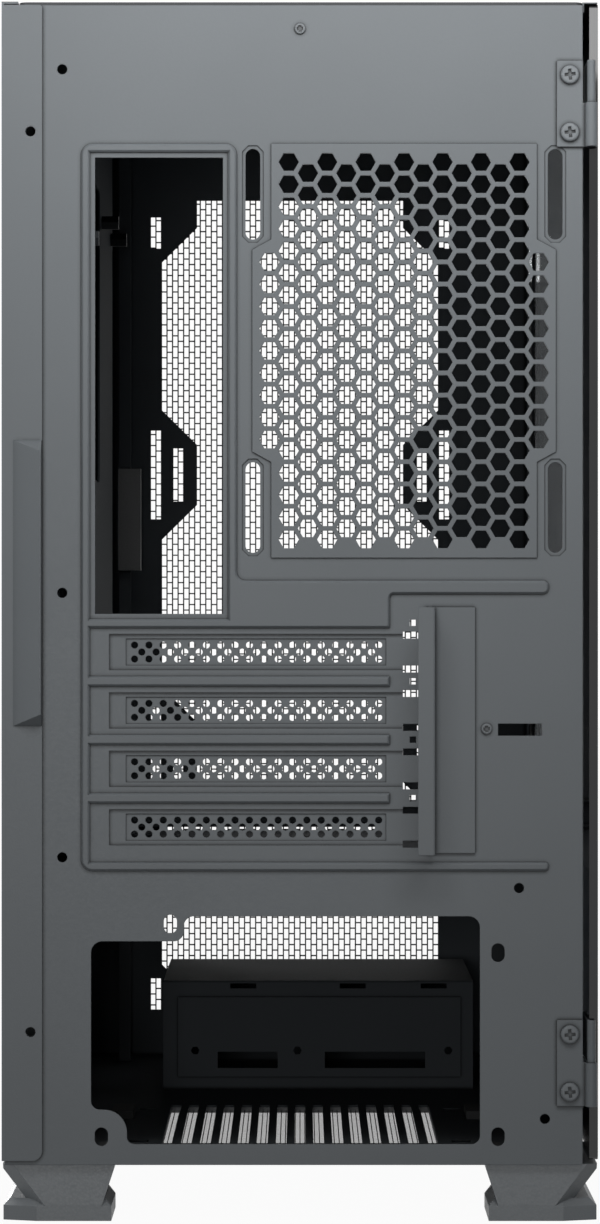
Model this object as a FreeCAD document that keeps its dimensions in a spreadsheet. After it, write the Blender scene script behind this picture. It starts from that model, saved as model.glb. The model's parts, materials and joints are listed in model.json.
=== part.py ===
"""Steel tower computer case for a micro-ATX board, millimetres, +Z up, rear face towards -Y."""
import FreeCAD, Part
import math
import os
import re

import Sketcher

# Driving dimensions. Left and right are as seen from behind.
SIZES = {
    # whole case
    "case_width": 207.4,
    "case_depth": 400.0,
    "case_height": 424.5,
    "steel": 0.8,
    "flange": 14.0,
    "foot_height": 20.0,
    "board_drop": 54.5,
    "bezel_depth": 40.0,
    "guard_reach": 14.0,
    "glass": 3.0,
    "door_gap": 2.4,
    "slide_gap": 0.3,
    # connector window and the pressed ridges round it
    "window_left": -71.3,
    "window_below_board": 158.3,
    "window_width": 44.5,
    "window_height": 158.7,
    "window_lip": 1.8,
    "ridge_width": 3.0,
    "ridge_height": 1.2,
    "ridge_slope": 0.7,
    "bead_end": 86.5,
    "bead_below_board": 146.7,
    "bead_height": 4.7,
    # expansion slots
    "slot_pitch": 20.32,
    "slot_below_board": 171.6,
    "slot_left": -66.4,
    "slot_right": 35.8,
    "slot_height": 12.6,
    "slot_mouth": 14.2,
    "tab_face": 43.9,
    "tab_reach": 11.4,
    "tab_height": 9.4,
    "cover_height": 17.9,
    "cover_overlap": 3.0,
    "cover_sink": 0.35,
    "cover_margin": 5.8,
    "rib_end": 31.2,
    "rib_height": 3.5,
    "ridge_below_board": 247.7,
    # rear fan
    "fan_middle": 36.2,
    "fan_below_board": 66.8,
    "fan_spacing": 105.2,
    "fan_slot_rise": 109.0,
    "fan_slot_length": 31.5,
    "fan_slot_width": 5.1,
    "fan_slot_rim": 1.2,
    "hexagon_flats": 6.1,
    "hexagon_pitch": 7.72,
    "grille_rise": 0.5,
    "grille_half_width": 46.2,
    "grille_half_height": 72.0,
    "grille_shoulder": 6.6,
    "grille_waist": 35.1,
    "grille_bend": 3.6,
    # power supply window
    "supply_middle": -0.1,
    "supply_hole_level": 29.8,
    "supply_hole_width": 4.6,
    "supply_hole_length": 6.5,
    "supply_left": -72.7,
    "supply_right": 62.6,
    "supply_bottom": 27.2,
    "supply_top": 106.5,
    "supply_step": 97.8,
    # screws and small holes
    "screw_hole": 3.5,
    "corner_hole_drop": 23.4,
    "screw_shank": 3.0,
    "screw_head": 5.6,
    "screw_head_height": 2.0,
    "screw_play": 0.2,
    "small_screw_head": 3.8,
    "small_screw_height": 0.9,
    "small_screw_shank": 2.4,
    "top_screw_drop": 9.3,
    "guard_screw_across": 64.9,
    "guard_screw_below_board": 198.3,
    # slot guard
    "guard_lip_left": 40.7,
    "guard_web": 46.6,
    "guard_right": 60.9,
    "guard_below_board": 241.5,
    "guard_height": 85.5,
    # hinges
    "hinge_inset": 2.5,
    "hinge_top_drop": 50.4,
    "hinge_lower": 40.6,
    "hinge_height": 29.9,
    "hinge_leaf_width": 9.0,
    "hinge_leaf": 1.0,
    "knuckle_radius": 2.1,
    "knuckle_height": 15.2,
    "pin_radius": 1.45,
    "pin_play": 0.05,
    "hinge_screw_pitch": 20.0,
    "hinge_screw_head": 6.5,
    "hinge_screw_height": 1.6,
    # panels
    "panel_bottom": 21.5,
    "panel_flange": 14.1,
    "panel_lip": 5.7,
    "panel_front_gap": 1.2,
    "panel_screw_inset": 10.0,
    "panel_screw_drop": 45.1,
    "panel_screw_lower": 66.3,
    "grip_bottom": 172.7,
    "grip_height": 99.5,
    "grip_width": 9.9,
    "grip_rise": 5.0,
    "grip_end_slope": 4.0,
    "door_bottom": 21.6,
    "door_top_gap": 0.5,
    "door_rear_gap": 1.0,
    # inside
    "tray_face": -77.0,
    "tray_depth": 254.0,
    "standoff_height": 6.5,
    "standoff_flats": 5.0,
    "shroud_below_board": 250.4,
    "shroud_front_gap": 30.0,
    "front_fan_half": 59.8,
    "front_ear_reach": 15.2,
    "front_ear_base": 28.0,
    "front_ear_tip": 13.0,
    "front_ear_drop": 32.8,
    "front_ear_rise": 31.7,
    "front_open_drop": 34.1,
    "front_open_bottom": 33.0,
    "front_slot_width": 4.6,
    "cage_left": -55.0,
    "cage_right": 69.5,
    "cage_front_gap": 23.2,
    "cage_depth": 104.0,
    "cage_height": 43.4,
    "cage_emboss": 0.6,
    # floor vent and its filter
    "vent_start": 52.0,
    "vent_length": 113.0,
    "vent_pitch": 6.85,
    "vent_width": 4.0,
    "vent_count": 15,
    "foot_gap": 0.4,
    "filter_length": 136.0,
    "filter_start": 42.0,
    "filter_height": 2.6,
    "filter_border": 8.0,
    "filter_web": 0.6,
    "runner_width": 5.0,
    "runner_lip": 2.5,
    "runner_wall": 1.2,
    # feet
    "foot_width": 40.0,
    "foot_length": 64.0,
    "foot_set_in": 2.0,
    "foot_base_height": 8.3,
    "foot_taper": 14.3,
    "foot_setback": 8.0,
    "foot_pad_height": 1.0,
    # top
    "top_vent_rows": 15,
    "top_vent_pitch": 15.0,
    "top_vent_width": 7.0,
    "top_vent_length": 62.0,
    "top_filter_margin": 4.0,
    # front bezel and connectors
    "bezel_wall": 2.6,
    "bezel_face": 3.0,
    "bezel_corner": 7.0,
    "bezel_border": 16.0,
    "mesh_sheet": 1.0,
    "mesh_margin": 5.0,
    "mesh_columns": 5,
    "mesh_rows": 10,
    "mesh_bar": 2.6,
    "block_length": 118.0,
    "block_width": 18.0,
    "block_height": 10.0,
    "board_sheet": 1.6,
    "power_radius": 6.0,
    "reset_radius": 3.0,
    "button_rise": 0.6,
    "button_play": 0.3,
    "button_travel": 1.2,
    "button_collar": 1.2,
    "connector_from_front": 20.0,
}

# Levels that follow the board's upper edge
LEVELS = {
    "board_top": "case_height - board_drop",
    "window_bottom": "board_top - window_below_board",
    "bead_top": "board_top - bead_below_board",
    "slot_first": "board_top - slot_below_board",
    "lowest_ridge": "board_top - ridge_below_board",
    "fan_level": "board_top - fan_below_board",
    "guard_screw_level": "board_top - guard_screw_below_board",
    "guard_bottom": "board_top - guard_below_board",
    "shroud_top": "board_top - shroud_below_board",
}

REAR = "(guard_reach - case_depth / 2)"
FRONT = "(case_depth / 2 - bezel_depth)"
LEFT = "(steel + slide_gap - case_width / 2)"
RIGHT = "(case_width / 2 - glass - door_gap)"
FLOOR_TOP = "(foot_height + steel)"
TOP = "(case_height - steel - slide_gap)"
TOP_UNDER = "(case_height - 2 * steel - slide_gap)"
INSIDE_REAR = f"({REAR} + steel)"
INSIDE_FRONT = f"({FRONT} - steel)"
SIDE = "(case_width / 2)"
PANEL_FRONT = f"({FRONT} - panel_front_gap)"
FLANGE_REAR_END = f"({INSIDE_REAR} + flange)"
FLANGE_FRONT_END = f"({INSIDE_FRONT} - flange)"
SHROUD_UNDER = "(shroud_top - steel)"
SHROUD_FRONT = f"({INSIDE_FRONT} - shroud_front_gap)"
WINDOW_RIGHT = "(window_left + window_width)"
WINDOW_TOP = "(window_bottom + window_height)"
TAB_LEFT = "(tab_face - steel)"
DOOR_INNER = f"({SIDE} - glass)"
HINGE_DEPTH = f"({REAR} - knuckle_radius)"
HINGE_AXIS = f"({SIDE} - hinge_inset)"
HINGE_LEFT = f"({RIGHT} - hinge_leaf_width)"
PANEL_SCREW_UPPER = "(case_height - panel_screw_drop)"
GLASS_REAR = f"({REAR} + door_rear_gap)"

SMALL_SCREWS = (("0", "case_height - top_screw_drop"),
                ("guard_screw_across", "guard_screw_level"))
SLOT_COUNT = 4
FAN_SIDES = (-1, 1)
SIX_CORNERS = ((1, 0), (0.5, 0.866), (-0.5, 0.866), (-1, 0), (-0.5, -0.866), (0.5, -0.866))

doc = FreeCAD.newDocument("tower_case")
sheet = doc.addObject("Spreadsheet::Sheet", "Sizes")
cells = {**SIZES, **{alias: f"={formula}" for alias, formula in LEVELS.items()}}
for row, (alias, content) in enumerate(cells.items(), start=1):
    sheet.set(f"A{row}", alias)
    sheet.set(f"B{row}", str(content))
    sheet.setAlias(f"B{row}", alias)
    doc.recompute()

nodes = []


def bind(text):
    """The same expression with every size read from the sheet."""
    return re.sub(r"[a-z_]{3,}", lambda word: f"Sizes.{word[0]}", str(text))


def value(text):
    """The number that an expression of sizes gives."""
    return float(sheet.evalExpression(bind(text)))


class Sheet:
    """One piece made from sketches, as a body of pads and pockets."""

    def __init__(self, label, finished=True):
        self.label = label
        self.body = doc.addObject("PartDesign::Body", label)
        self.count = 0
        if finished:
            nodes.append(self.body)

    def name(self, kind):
        self.count += 1
        return f"{self.label}_{kind}_{self.count}"

    def sketch(self, plane, level):
        """A sketch parallel to an origin plane, at a level along X, Y or Z."""
        sketch = self.body.newObject("Sketcher::SketchObject", self.name("sketch"))
        origin = [item for item in self.body.Origin.OriginFeatures if item.Role == plane]
        sketch.AttachmentSupport = [(origin[0], "")]
        sketch.MapMode = "FlatFace"
        sign = "-1 * " if plane == "XZ_Plane" else ""
        sketch.setExpression("AttachmentOffset.Base.z", bind(f"{sign}({level})"))
        return sketch

    def pad(self, sketch, length):
        """Material added along the sketch's normal: +Z, +X, or -Y from an upright sketch."""
        pad = self.body.newObject("PartDesign::Pad", self.name("pad"))
        pad.Profile = sketch
        pad.setExpression("Length", bind(length))
        return pad

    def cut(self, sketch, depth):
        """Material removed against the sketch's normal: -Z, -X, or +Y from an upright sketch."""
        pocket = self.body.newObject("PartDesign::Pocket", self.name("pocket"))
        pocket.Profile = sketch
        pocket.setExpression("Length", bind(depth))
        return pocket

    def grid(self, feature, sketch, across, pitch_across, along, pitch_along):
        """Copies of a pocket in columns and rows."""
        pattern = self.body.newObject("PartDesign::LinearPattern", self.name("pattern"))
        pattern.Originals = [feature]
        pattern.Direction = (sketch, ["H_Axis"])
        pattern.Mode = "Spacing"
        pattern.setExpression("Offset", bind(pitch_across))
        pattern.setExpression("Occurrences", bind(across))
        pattern.Direction2 = (sketch, ["V_Axis"])
        pattern.Mode2 = "Spacing"
        pattern.setExpression("Offset2", bind(pitch_along))
        pattern.setExpression("Occurrences2", bind(along))
        self.body.Tip = pattern
        return pattern

    def bevel(self, feature, size, wanted):
        """Chamfer on the edges of a feature that a test picks."""
        doc.recompute()
        edges = feature.Shape.Edges
        chosen = [f"Edge{number}" for number, edge in enumerate(edges, start=1) if wanted(edge)]
        chamfer = self.body.newObject("PartDesign::Chamfer", self.name("chamfer"))
        chamfer.Base = (feature, chosen)
        chamfer.setExpression("Size", bind(size))
        self.body.Tip = chamfer
        return chamfer


def constrain(sketch, constraints):
    """Adds (constraint, expression) pairs at once and binds those that have an expression."""
    first = sketch.ConstraintCount
    sketch.addConstraint([item for item, _ in constraints])
    for offset, (_, text) in enumerate(constraints):
        if text is not None:
            sketch.setExpression(f"Constraints[{first + offset}]", bind(text))


def place(geometry, point, x, y):
    """Constraints that put a point of a geometry at x, y."""
    return [(Sketcher.Constraint("DistanceX", geometry, point, value(x)), x),
            (Sketcher.Constraint("DistanceY", geometry, point, value(y)), y)]


def polygon(sketch, corners):
    """Closed outline through corners (x, y), or (x, y, radius) where a corner is rounded."""
    count = len(corners)
    at = [FreeCAD.Vector(value(corner[0]), value(corner[1]), 0) for corner in corners]
    starts, ends, arcs = [], [], []
    for index, corner in enumerate(corners):
        if len(corner) == 2:
            starts.append(at[index])
            ends.append(at[index])
            arcs.append(None)
            continue
        radius = value(corner[2])
        back = (at[index - 1] - at[index]).normalize()
        ahead = (at[(index + 1) % count] - at[index]).normalize()
        half = back.getAngle(ahead) / 2
        starts.append(at[index] + back * (radius / math.tan(half)))
        ends.append(at[index] + ahead * (radius / math.tan(half)))
        centre = at[index] + (back + ahead).normalize() * (radius / math.sin(half))
        left_turn = back.cross(ahead).z < 0
        first, last = (starts[-1], ends[-1]) if left_turn else (ends[-1], starts[-1])
        angles = [math.atan2(point.y - centre.y, point.x - centre.x) for point in (first, last)]
        circle = Part.Circle(centre, FreeCAD.Vector(0, 0, 1), radius)
        arcs.append((Part.ArcOfCircle(circle, angles[0], angles[1]), left_turn))
    lines = [sketch.addGeometry(Part.LineSegment(ends[index], starts[(index + 1) % count]))
             for index in range(count)]
    constraints = []
    for index, corner in enumerate(corners):
        before, after = lines[index - 1], lines[index]
        if arcs[index] is None:
            constraints.append((Sketcher.Constraint("Coincident", before, 2, after, 1), None))
            constraints += place(after, 1, corner[0], corner[1])
            continue
        shape, left_turn = arcs[index]
        arc = sketch.addGeometry(shape)
        vertex = sketch.addGeometry(Part.Point(at[index]), True)
        enter, leave = (1, 2) if left_turn else (2, 1)
        constraints.append((Sketcher.Constraint("Tangent", before, 2, arc, enter), None))
        constraints.append((Sketcher.Constraint("Tangent", arc, leave, after, 1), None))
        constraints.append((Sketcher.Constraint("PointOnObject", vertex, 1, before), None))
        constraints.append((Sketcher.Constraint("PointOnObject", vertex, 1, after), None))
        constraints.append((Sketcher.Constraint("Radius", arc, value(corner[2])), corner[2]))
        constraints += place(vertex, 1, corner[0], corner[1])
    constrain(sketch, constraints)


def rectangle(sketch, left, low, right, high, radius=None):
    """Rectangle between two corners, rounded where a radius is given."""
    corners = [(left, low), (right, low), (right, high), (left, high)]
    if radius is not None:
        corners = [corner + (radius,) for corner in corners]
    polygon(sketch, corners)


def circle(sketch, x, y, radius):
    """Circle with its middle at x, y."""
    middle = FreeCAD.Vector(value(x), value(y), 0)
    shape = Part.Circle(middle, FreeCAD.Vector(0, 0, 1), value(radius))
    number = sketch.addGeometry(shape)
    constrain(sketch, place(number, 3, x, y) +
              [(Sketcher.Constraint("Radius", number, value(radius)), radius)])


def upright_slot(sketch, x, y, length, width):
    """Slot with round ends, its long side along the sketch's y."""
    radius = value(width) / 2
    reach = f"(({length}) - ({width})) / 2"
    upper, lower = f"({y}) + {reach}", f"({y}) - {reach}"
    middle = value(x)
    up = FreeCAD.Vector(0, 0, 1)
    top = Part.Circle(FreeCAD.Vector(middle, value(upper), 0), up, radius)
    bottom = Part.Circle(FreeCAD.Vector(middle, value(lower), 0), up, radius)
    top_arc = sketch.addGeometry(Part.ArcOfCircle(top, 0, math.pi))
    bottom_arc = sketch.addGeometry(Part.ArcOfCircle(bottom, math.pi, 2 * math.pi))
    sides = []
    for side in (-1, 1):
        low = FreeCAD.Vector(middle + side * radius, value(lower), 0)
        high = FreeCAD.Vector(middle + side * radius, value(upper), 0)
        sides.append(sketch.addGeometry(Part.LineSegment(low, high)))
    constraints = place(top_arc, 3, x, upper) + place(bottom_arc, 3, x, lower)
    constraints.append((Sketcher.Constraint("Radius", top_arc, radius), f"({width}) / 2"))
    for arc, point, side, end in ((top_arc, 1, 1, 2), (top_arc, 2, 0, 2),
                                  (bottom_arc, 1, 0, 1), (bottom_arc, 2, 1, 1)):
        constraints.append((Sketcher.Constraint("Tangent", arc, point, sides[side], end), None))
    constrain(sketch, constraints)


def cut_slot(sketch, x, y, length, width):
    """Slot with three-sided ends, its long side along the sketch's y."""
    half, reach = f"({width}) / 2", f"({length}) / 2"
    bend = f"(({width}) * 0.293)"
    side = [(f"({x}) + {half} - {bend}", f"({y}) - {reach}"), (f"({x}) + {half}", f"({y}) - {reach} + {bend}"),
            (f"({x}) + {half}", f"({y}) + {reach} - {bend}"), (f"({x}) + {half} - {bend}", f"({y}) + {reach}")]
    other = [(f"({x}) - {half} + {bend}", f"({y}) + {reach}"), (f"({x}) - {half}", f"({y}) + {reach} - {bend}"),
             (f"({x}) - {half}", f"({y}) - {reach} + {bend}"), (f"({x}) - {half} + {bend}", f"({y}) - {reach}")]
    polygon(sketch, side + other)


def hexagon(sketch, x, y, radius):
    """Six-sided hole, for small holes that repeat."""
    polygon(sketch, [(f"({x}) + {across} * ({radius})", f"({y}) + {up} * ({radius})")
                     for across, up in SIX_CORNERS])


def stud(sides, radius, length, base, along):
    """Plain many-sided stud, for small turned pieces that repeat."""
    up = FreeCAD.Vector(1, 0, 0) if abs(along.z) > 0.5 else FreeCAD.Vector(0, 0, 1)
    across = along.cross(up)
    turns = [2 * math.pi * step / sides for step in range(sides + 1)]
    ring = [base + across * (radius * math.cos(turn)) + up * (radius * math.sin(turn)) for turn in turns]
    return Part.Face(Part.makePolygon(ring)).extrude(along * length)


def screw(seat, along, head, height, shank, reach):
    """Screw with the underside of its head on a seat and its shank along a direction."""
    cap = stud(12, value(head) / 2, value(height), seat - along * value(height), along)
    stem = stud(6, value(shank) / 2, value(reach), seat, along)
    return cap.fuse(stem).removeSplitter()


def block(label, x, y, z):
    """Part box between (low, high) expressions along each axis."""
    box = doc.addObject("Part::Box", label)
    for axis, size, (low, high) in (("x", "Length", x), ("y", "Width", y), ("z", "Height", z)):
        box.setExpression(f"Placement.Base.{axis}", bind(low))
        box.setExpression(size, bind(f"({high}) - ({low})"))
    return box


def node(item):
    """Marks a Part object as a piece of the case."""
    nodes.append(item)
    return item


def group(label, shapes):
    """Like fasteners as one piece list: separate solids under one label."""
    feature = doc.addObject("Part::Feature", label)
    feature.Shape = Part.makeCompound(shapes) if len(shapes) > 1 else shapes[0]
    return node(feature)


def slot_level(number):
    return f"(slot_first - {number} * slot_pitch)"


def rear_panel():
    """Pressed rear sheet: ridges, windows, expansion slots and the hexagon fan grille."""
    panel = Sheet("rear_sheet", finished=False)
    wall = panel.sketch("XZ_Plane", INSIDE_REAR)
    rectangle(wall, LEFT, "foot_height", RIGHT, TOP)
    panel.pad(wall, "steel")
    for level in (LEFT, f"{RIGHT} - steel"):
        edge = panel.sketch("YZ_Plane", level)
        rectangle(edge, INSIDE_REAR, FLOOR_TOP, FLANGE_REAR_END, TOP_UNDER)
        panel.pad(edge, "steel")

    # Raised field with its pockets, so that only the ridges stand out
    outer_left = "(window_left - window_lip - ridge_width)"
    field_right = f"({WINDOW_RIGHT} + window_lip + ridge_width)"
    field_top = f"({WINDOW_TOP} + window_lip + ridge_width)"
    bead_low = "(bead_top - bead_height)"
    lowest_top = "(lowest_ridge + ridge_width)"
    field = panel.sketch("XZ_Plane", REAR)
    polygon(field, [
        (outer_left, "lowest_ridge", 4), ("bead_end", "lowest_ridge", 1.3),
        ("bead_end", lowest_top, 1.3), ("rib_end", lowest_top), ("rib_end", bead_low, 1.5),
        ("bead_end", bead_low, 2), ("bead_end", "bead_top", 2), (field_right, "bead_top", 3),
        (field_right, field_top, 4), (outer_left, field_top, 4)])
    panel.pad(field, "ridge_height")
    pocket_left = f"({outer_left} + ridge_width)"
    crest_level = f"{REAR} - ridge_height"
    around = panel.sketch("XZ_Plane", crest_level)
    rectangle(around, pocket_left, "window_bottom - window_lip",
              f"{field_right} - ridge_width", f"{field_top} - ridge_width")
    panel.cut(around, "ridge_height")
    for number in range(SLOT_COUNT):
        low = f"({slot_level(number)} - slot_pitch / 2 + rib_height / 2)"
        high = f"({slot_level(number)} + slot_pitch / 2 - rib_height / 2)"
        if number == SLOT_COUNT - 1:
            low = lowest_top
        between = panel.sketch("XZ_Plane", crest_level)
        rectangle(between, pocket_left, low, "rib_end + 5", high)
        sunk = panel.cut(between, "ridge_height")
    crest = value(crest_level)

    def on_crest(edge):
        return abs(edge.BoundBox.YMin - crest) < 1e-4 and abs(edge.BoundBox.YMax - crest) < 1e-4

    panel.bevel(sunk, "ridge_slope", on_crest)

    # Grille field, wide between the fan slots
    shoulder = "(grille_half_width + grille_shoulder)"
    grille = panel.sketch("XZ_Plane", REAR)
    outline = []
    for side, level, far in ((1, -1, True), (1, 1, False), (-1, 1, True), (-1, -1, False)):
        narrow = f"fan_middle + {side} * grille_half_width"
        wide = f"fan_middle + {side} * {shoulder}"
        end = f"fan_level + {level} * grille_half_height"
        bend_start = f"fan_level + {level} * (grille_waist + grille_bend)"
        bend_end = f"fan_level + {level} * grille_waist"
        corner = [(narrow, end), (narrow, bend_start), (wide, bend_end)]
        outline += corner if far else corner[::-1]
    polygon(grille, outline)
    panel.pad(grille, "grille_rise")

    # Fan slots with dished rims
    rims = panel.sketch("XZ_Plane", REAR)
    slots = panel.sketch("XZ_Plane", REAR)
    for side in FAN_SIDES:
        for level in FAN_SIDES:
            x = f"fan_middle + {side} * fan_spacing / 2"
            z = f"fan_level + {level} * fan_slot_rise / 2"
            cut_slot(rims, x, z, "fan_slot_length + 2 * fan_slot_rim",
                     "fan_slot_width + 2 * fan_slot_rim")
            upright_slot(slots, x, z, "fan_slot_length", "fan_slot_width")
    panel.cut(rims, "steel / 2")
    panel.cut(slots, "steel")

    # Windows, expansion slots, power supply and screw holes
    window = panel.sketch("XZ_Plane", REAR)
    rectangle(window, "window_left", "window_bottom", WINDOW_RIGHT, WINDOW_TOP)
    panel.cut(window, "steel")
    for number in range(SLOT_COUNT):
        level = slot_level(number)
        slot = panel.sketch("XZ_Plane", REAR)
        low, high = f"{level} - slot_height / 2", f"{level} + slot_height / 2"
        mouth_low, mouth_high = f"{level} - slot_mouth / 2", f"{level} + slot_mouth / 2"
        polygon(slot, [("slot_left", low), ("slot_right", low), ("slot_right", mouth_low),
                       ("tab_face", mouth_low), ("tab_face", mouth_high),
                       ("slot_right", mouth_high), ("slot_right", high), ("slot_left", high)])
        panel.cut(slot, "steel")
    supply_tab = "(supply_left + 12.5)"
    supply = panel.sketch("XZ_Plane", REAR)
    polygon(supply, [
        ("supply_left", "supply_bottom + 12", 3), (supply_tab, "supply_bottom + 12", 8),
        (supply_tab, "supply_bottom", 2.5), ("supply_right", "supply_bottom", 3),
        ("supply_right", "supply_top", 4), ("supply_left + 32.3", "supply_top", 3.5),
        ("supply_left + 32.3", "supply_step", 3.5), ("supply_left", "supply_step", 4)])
    panel.cut(supply, "steel")
    ovals = panel.sketch("XZ_Plane", REAR)
    supply_holes = ((-69, 0), (69, 0), (69, 64), (-45, 74))
    for across, rise in supply_holes:
        upright_slot(ovals, f"supply_middle + {across}", f"supply_hole_level + {rise}",
                     "supply_hole_length", "supply_hole_width")
    panel.cut(ovals, "steel")
    holes = panel.sketch("XZ_Plane", REAR)
    small = (("window_left - 11.4", "case_height - corner_hole_drop"), ("window_left - 11.4", "board_top - 151"),
             ("window_left - 11.4", "board_top - 243"), ("76.2", "shroud_top - 3.3"), ("85.2", "36"),
             (f"panel_screw_inset - {SIDE}", PANEL_SCREW_UPPER),
             (f"panel_screw_inset - {SIDE}", "panel_screw_lower"))
    for x, z in small:
        circle(holes, x, z, "screw_hole / 2")
    for x, z in SMALL_SCREWS:
        hexagon(holes, x, z, "small_screw_shank / 2 + screw_play")
    panel.cut(holes, "steel")
    ports = panel.sketch("XZ_Plane", REAR)
    for number in range(SLOT_COUNT):
        x, z = "slot_right + 3.5", f"{slot_level(number)} + slot_pitch / 2"
        rectangle(ports, f"{x} - 1.1", f"{z} - 1.1", f"{x} + 1.1", f"{z} + 1.1")
    rectangle(ports, "guard_right + 8", "guard_screw_level - 2.4", "guard_right + 23.3",
              "guard_screw_level + 1.8")
    panel.cut(ports, "steel")

    # Outward flange that the slot covers are screwed to
    tab = panel.sketch("YZ_Plane", "tab_face")
    rectangle(tab, f"{REAR} - tab_reach", "guard_bottom", REAR, "guard_bottom + guard_height")
    for number in range(SLOT_COUNT):
        hexagon(tab, f"{REAR} - tab_reach / 2", slot_level(number), "screw_shank / 2 + screw_play")
    panel.pad(tab, "steel")

    # Hexagon field made in strips, so that no face carries all the cells
    column = "(hexagon_pitch * 0.8660254)"
    side, wing = f"(6.58 * {column})", f"(7.56 * {column})"
    tall, waist = "(9.1 * hexagon_pitch)", "(4.44 * hexagon_pitch)"
    gap = panel.sketch("XZ_Plane", f"{REAR} - grille_rise")
    polygon(gap, [(f"fan_middle + {x}", f"fan_level + {z}") for x, z in (
        (side, f"-1 * {tall}"), (side, f"-1 * {waist}"), (wing, f"-1 * {waist}"), (wing, waist),
        (side, waist), (side, tall), (f"-1 * {side}", tall), (f"-1 * {side}", waist),
        (f"-1 * {wing}", waist), (f"-1 * {wing}", f"-1 * {waist}"),
        (f"-1 * {side}", f"-1 * {waist}"), (f"-1 * {side}", f"-1 * {tall}"))])
    panel.cut(gap, "steel + grille_rise")
    doc.recompute()
    outer, through = value(f"{REAR} - grille_rise"), value("steel + grille_rise")
    pitch, column_pitch = value("hexagon_pitch"), value(column)
    radius = value("hexagon_flats") / math.sqrt(3)
    middle, level = value("fan_middle"), value("fan_level")

    def prism(points, depth):
        ring = [FreeCAD.Vector(middle + x, outer, level + z) for x, z in points + points[:1]]
        return Part.Face(Part.makePolygon(ring)).extrude(FreeCAD.Vector(0, depth, 0))

    columns = {}
    for first, last, step, rows in ((-6, 6, 2, 18), (-5, 5, 2, 17), (-7, 7, 14, 9)):
        for number in range(first, last + 1, step):
            columns[number] = []
            for row in range(rows):
                z = (row - (rows - 1) / 2) * pitch
                corners = [(number * column_pitch + radius * math.cos(turn * math.pi / 3),
                            z + radius * math.sin(turn * math.pi / 3)) for turn in range(6)]
                columns[number].append(prism(corners, through))
    strips = []
    side, wing, tall, waist = value(side), value(wing), value(tall), value(waist)
    for left in range(-6, 6, 4):
        low, high = left * column_pitch, (left + 4) * column_pitch
        strip = prism([(low, -tall), (high, -tall), (high, tall), (low, tall)], through)
        strips.append(strip.cut([cell for number in range(left, left + 5) for cell in columns[number]]))
    for hand in FAN_SIDES:
        start = 6 * column_pitch
        corners = [(start, -tall), (side, -tall), (side, -waist), (wing, -waist), (wing, waist),
                   (side, waist), (side, tall), (start, tall)]
        strip = prism([(hand * x, z) for x, z in corners], through)
        strips.append(strip.cut(columns[hand * 6] + columns[hand * 7]))
    finished = doc.addObject("Part::Feature", "rear_panel")
    finished.Shape = panel.body.Shape.fuse(strips)
    node(finished)


def slot_covers():
    """Perforated slot covers, each with a screw tab bent outwards, and their screws."""
    screws = []
    for number in range(SLOT_COUNT):
        level = slot_level(number)
        cover = Sheet(f"slot_cover_{number + 1}")
        low, high = f"{level} - cover_height / 2", f"{level} + cover_height / 2"
        neck_low, neck_high = f"{level} - tab_height / 2", f"{level} + tab_height / 2"
        plate = cover.sketch("XZ_Plane", f"{INSIDE_REAR} + steel")
        polygon(plate, [("slot_left - cover_overlap", low), ("slot_right", low),
                        ("slot_right", neck_low), ("tab_face", neck_low), ("tab_face", neck_high),
                        ("slot_right", neck_high), ("slot_right", high),
                        ("slot_left - cover_overlap", high)])
        cover.pad(plate, "steel")
        tab = cover.sketch("YZ_Plane", TAB_LEFT)
        end, notch = f"{REAR} - tab_reach", f"{REAR} - tab_reach / 2 + screw_shank / 2 + screw_play"
        notch_low = f"{level} - screw_shank / 2 - screw_play"
        notch_high = f"{level} + screw_shank / 2 + screw_play"
        polygon(tab, [(end, neck_low), (INSIDE_REAR, neck_low), (INSIDE_REAR, neck_high),
                      (end, neck_high), (end, notch_high), (notch, notch_high),
                      (notch, notch_low), (end, notch_low)])
        cover.pad(tab, "steel")
        sunk = cover.sketch("XZ_Plane", INSIDE_REAR)
        rectangle(sunk, "slot_left + cover_margin", neck_low, "slot_right - cover_margin",
                  neck_high)
        cover.cut(sunk, "cover_sink")
        seat = FreeCAD.Vector(value(TAB_LEFT), value(f"{REAR} - tab_reach / 2"), value(level))
        screws.append(screw(seat, FreeCAD.Vector(1, 0, 0), "screw_head", "screw_head_height",
                            "screw_shank", "2 * steel + 1"))
    group("slot_cover_screws", screws)


def slot_guard():
    """Bent strip that shields the slot screws from behind."""
    guard = Sheet("slot_guard")
    section = guard.sketch("XY_Plane", "guard_bottom")
    outer = f"({REAR} - guard_reach)"
    polygon(section, [
        ("guard_lip_left", outer), ("guard_web", outer, 0.7), ("guard_web", f"{REAR} - steel"),
        ("guard_right", f"{REAR} - steel"), ("guard_right", REAR), ("guard_web - steel", REAR),
        ("guard_web - steel", f"{outer} + steel"), ("guard_lip_left", f"{outer} + steel")])
    guard.pad(section, "guard_height")


def small_screws():
    """Two small screws in the rear panel: at the middle of the top edge and beside the guard."""
    screws = []
    for x, z in SMALL_SCREWS:
        seat = FreeCAD.Vector(value(x), value(REAR), value(z))
        screws.append(screw(seat, FreeCAD.Vector(0, 1, 0), "small_screw_head", "small_screw_height",
                            "small_screw_shank", "steel + 3"))
    group("small_screws", screws)


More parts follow.
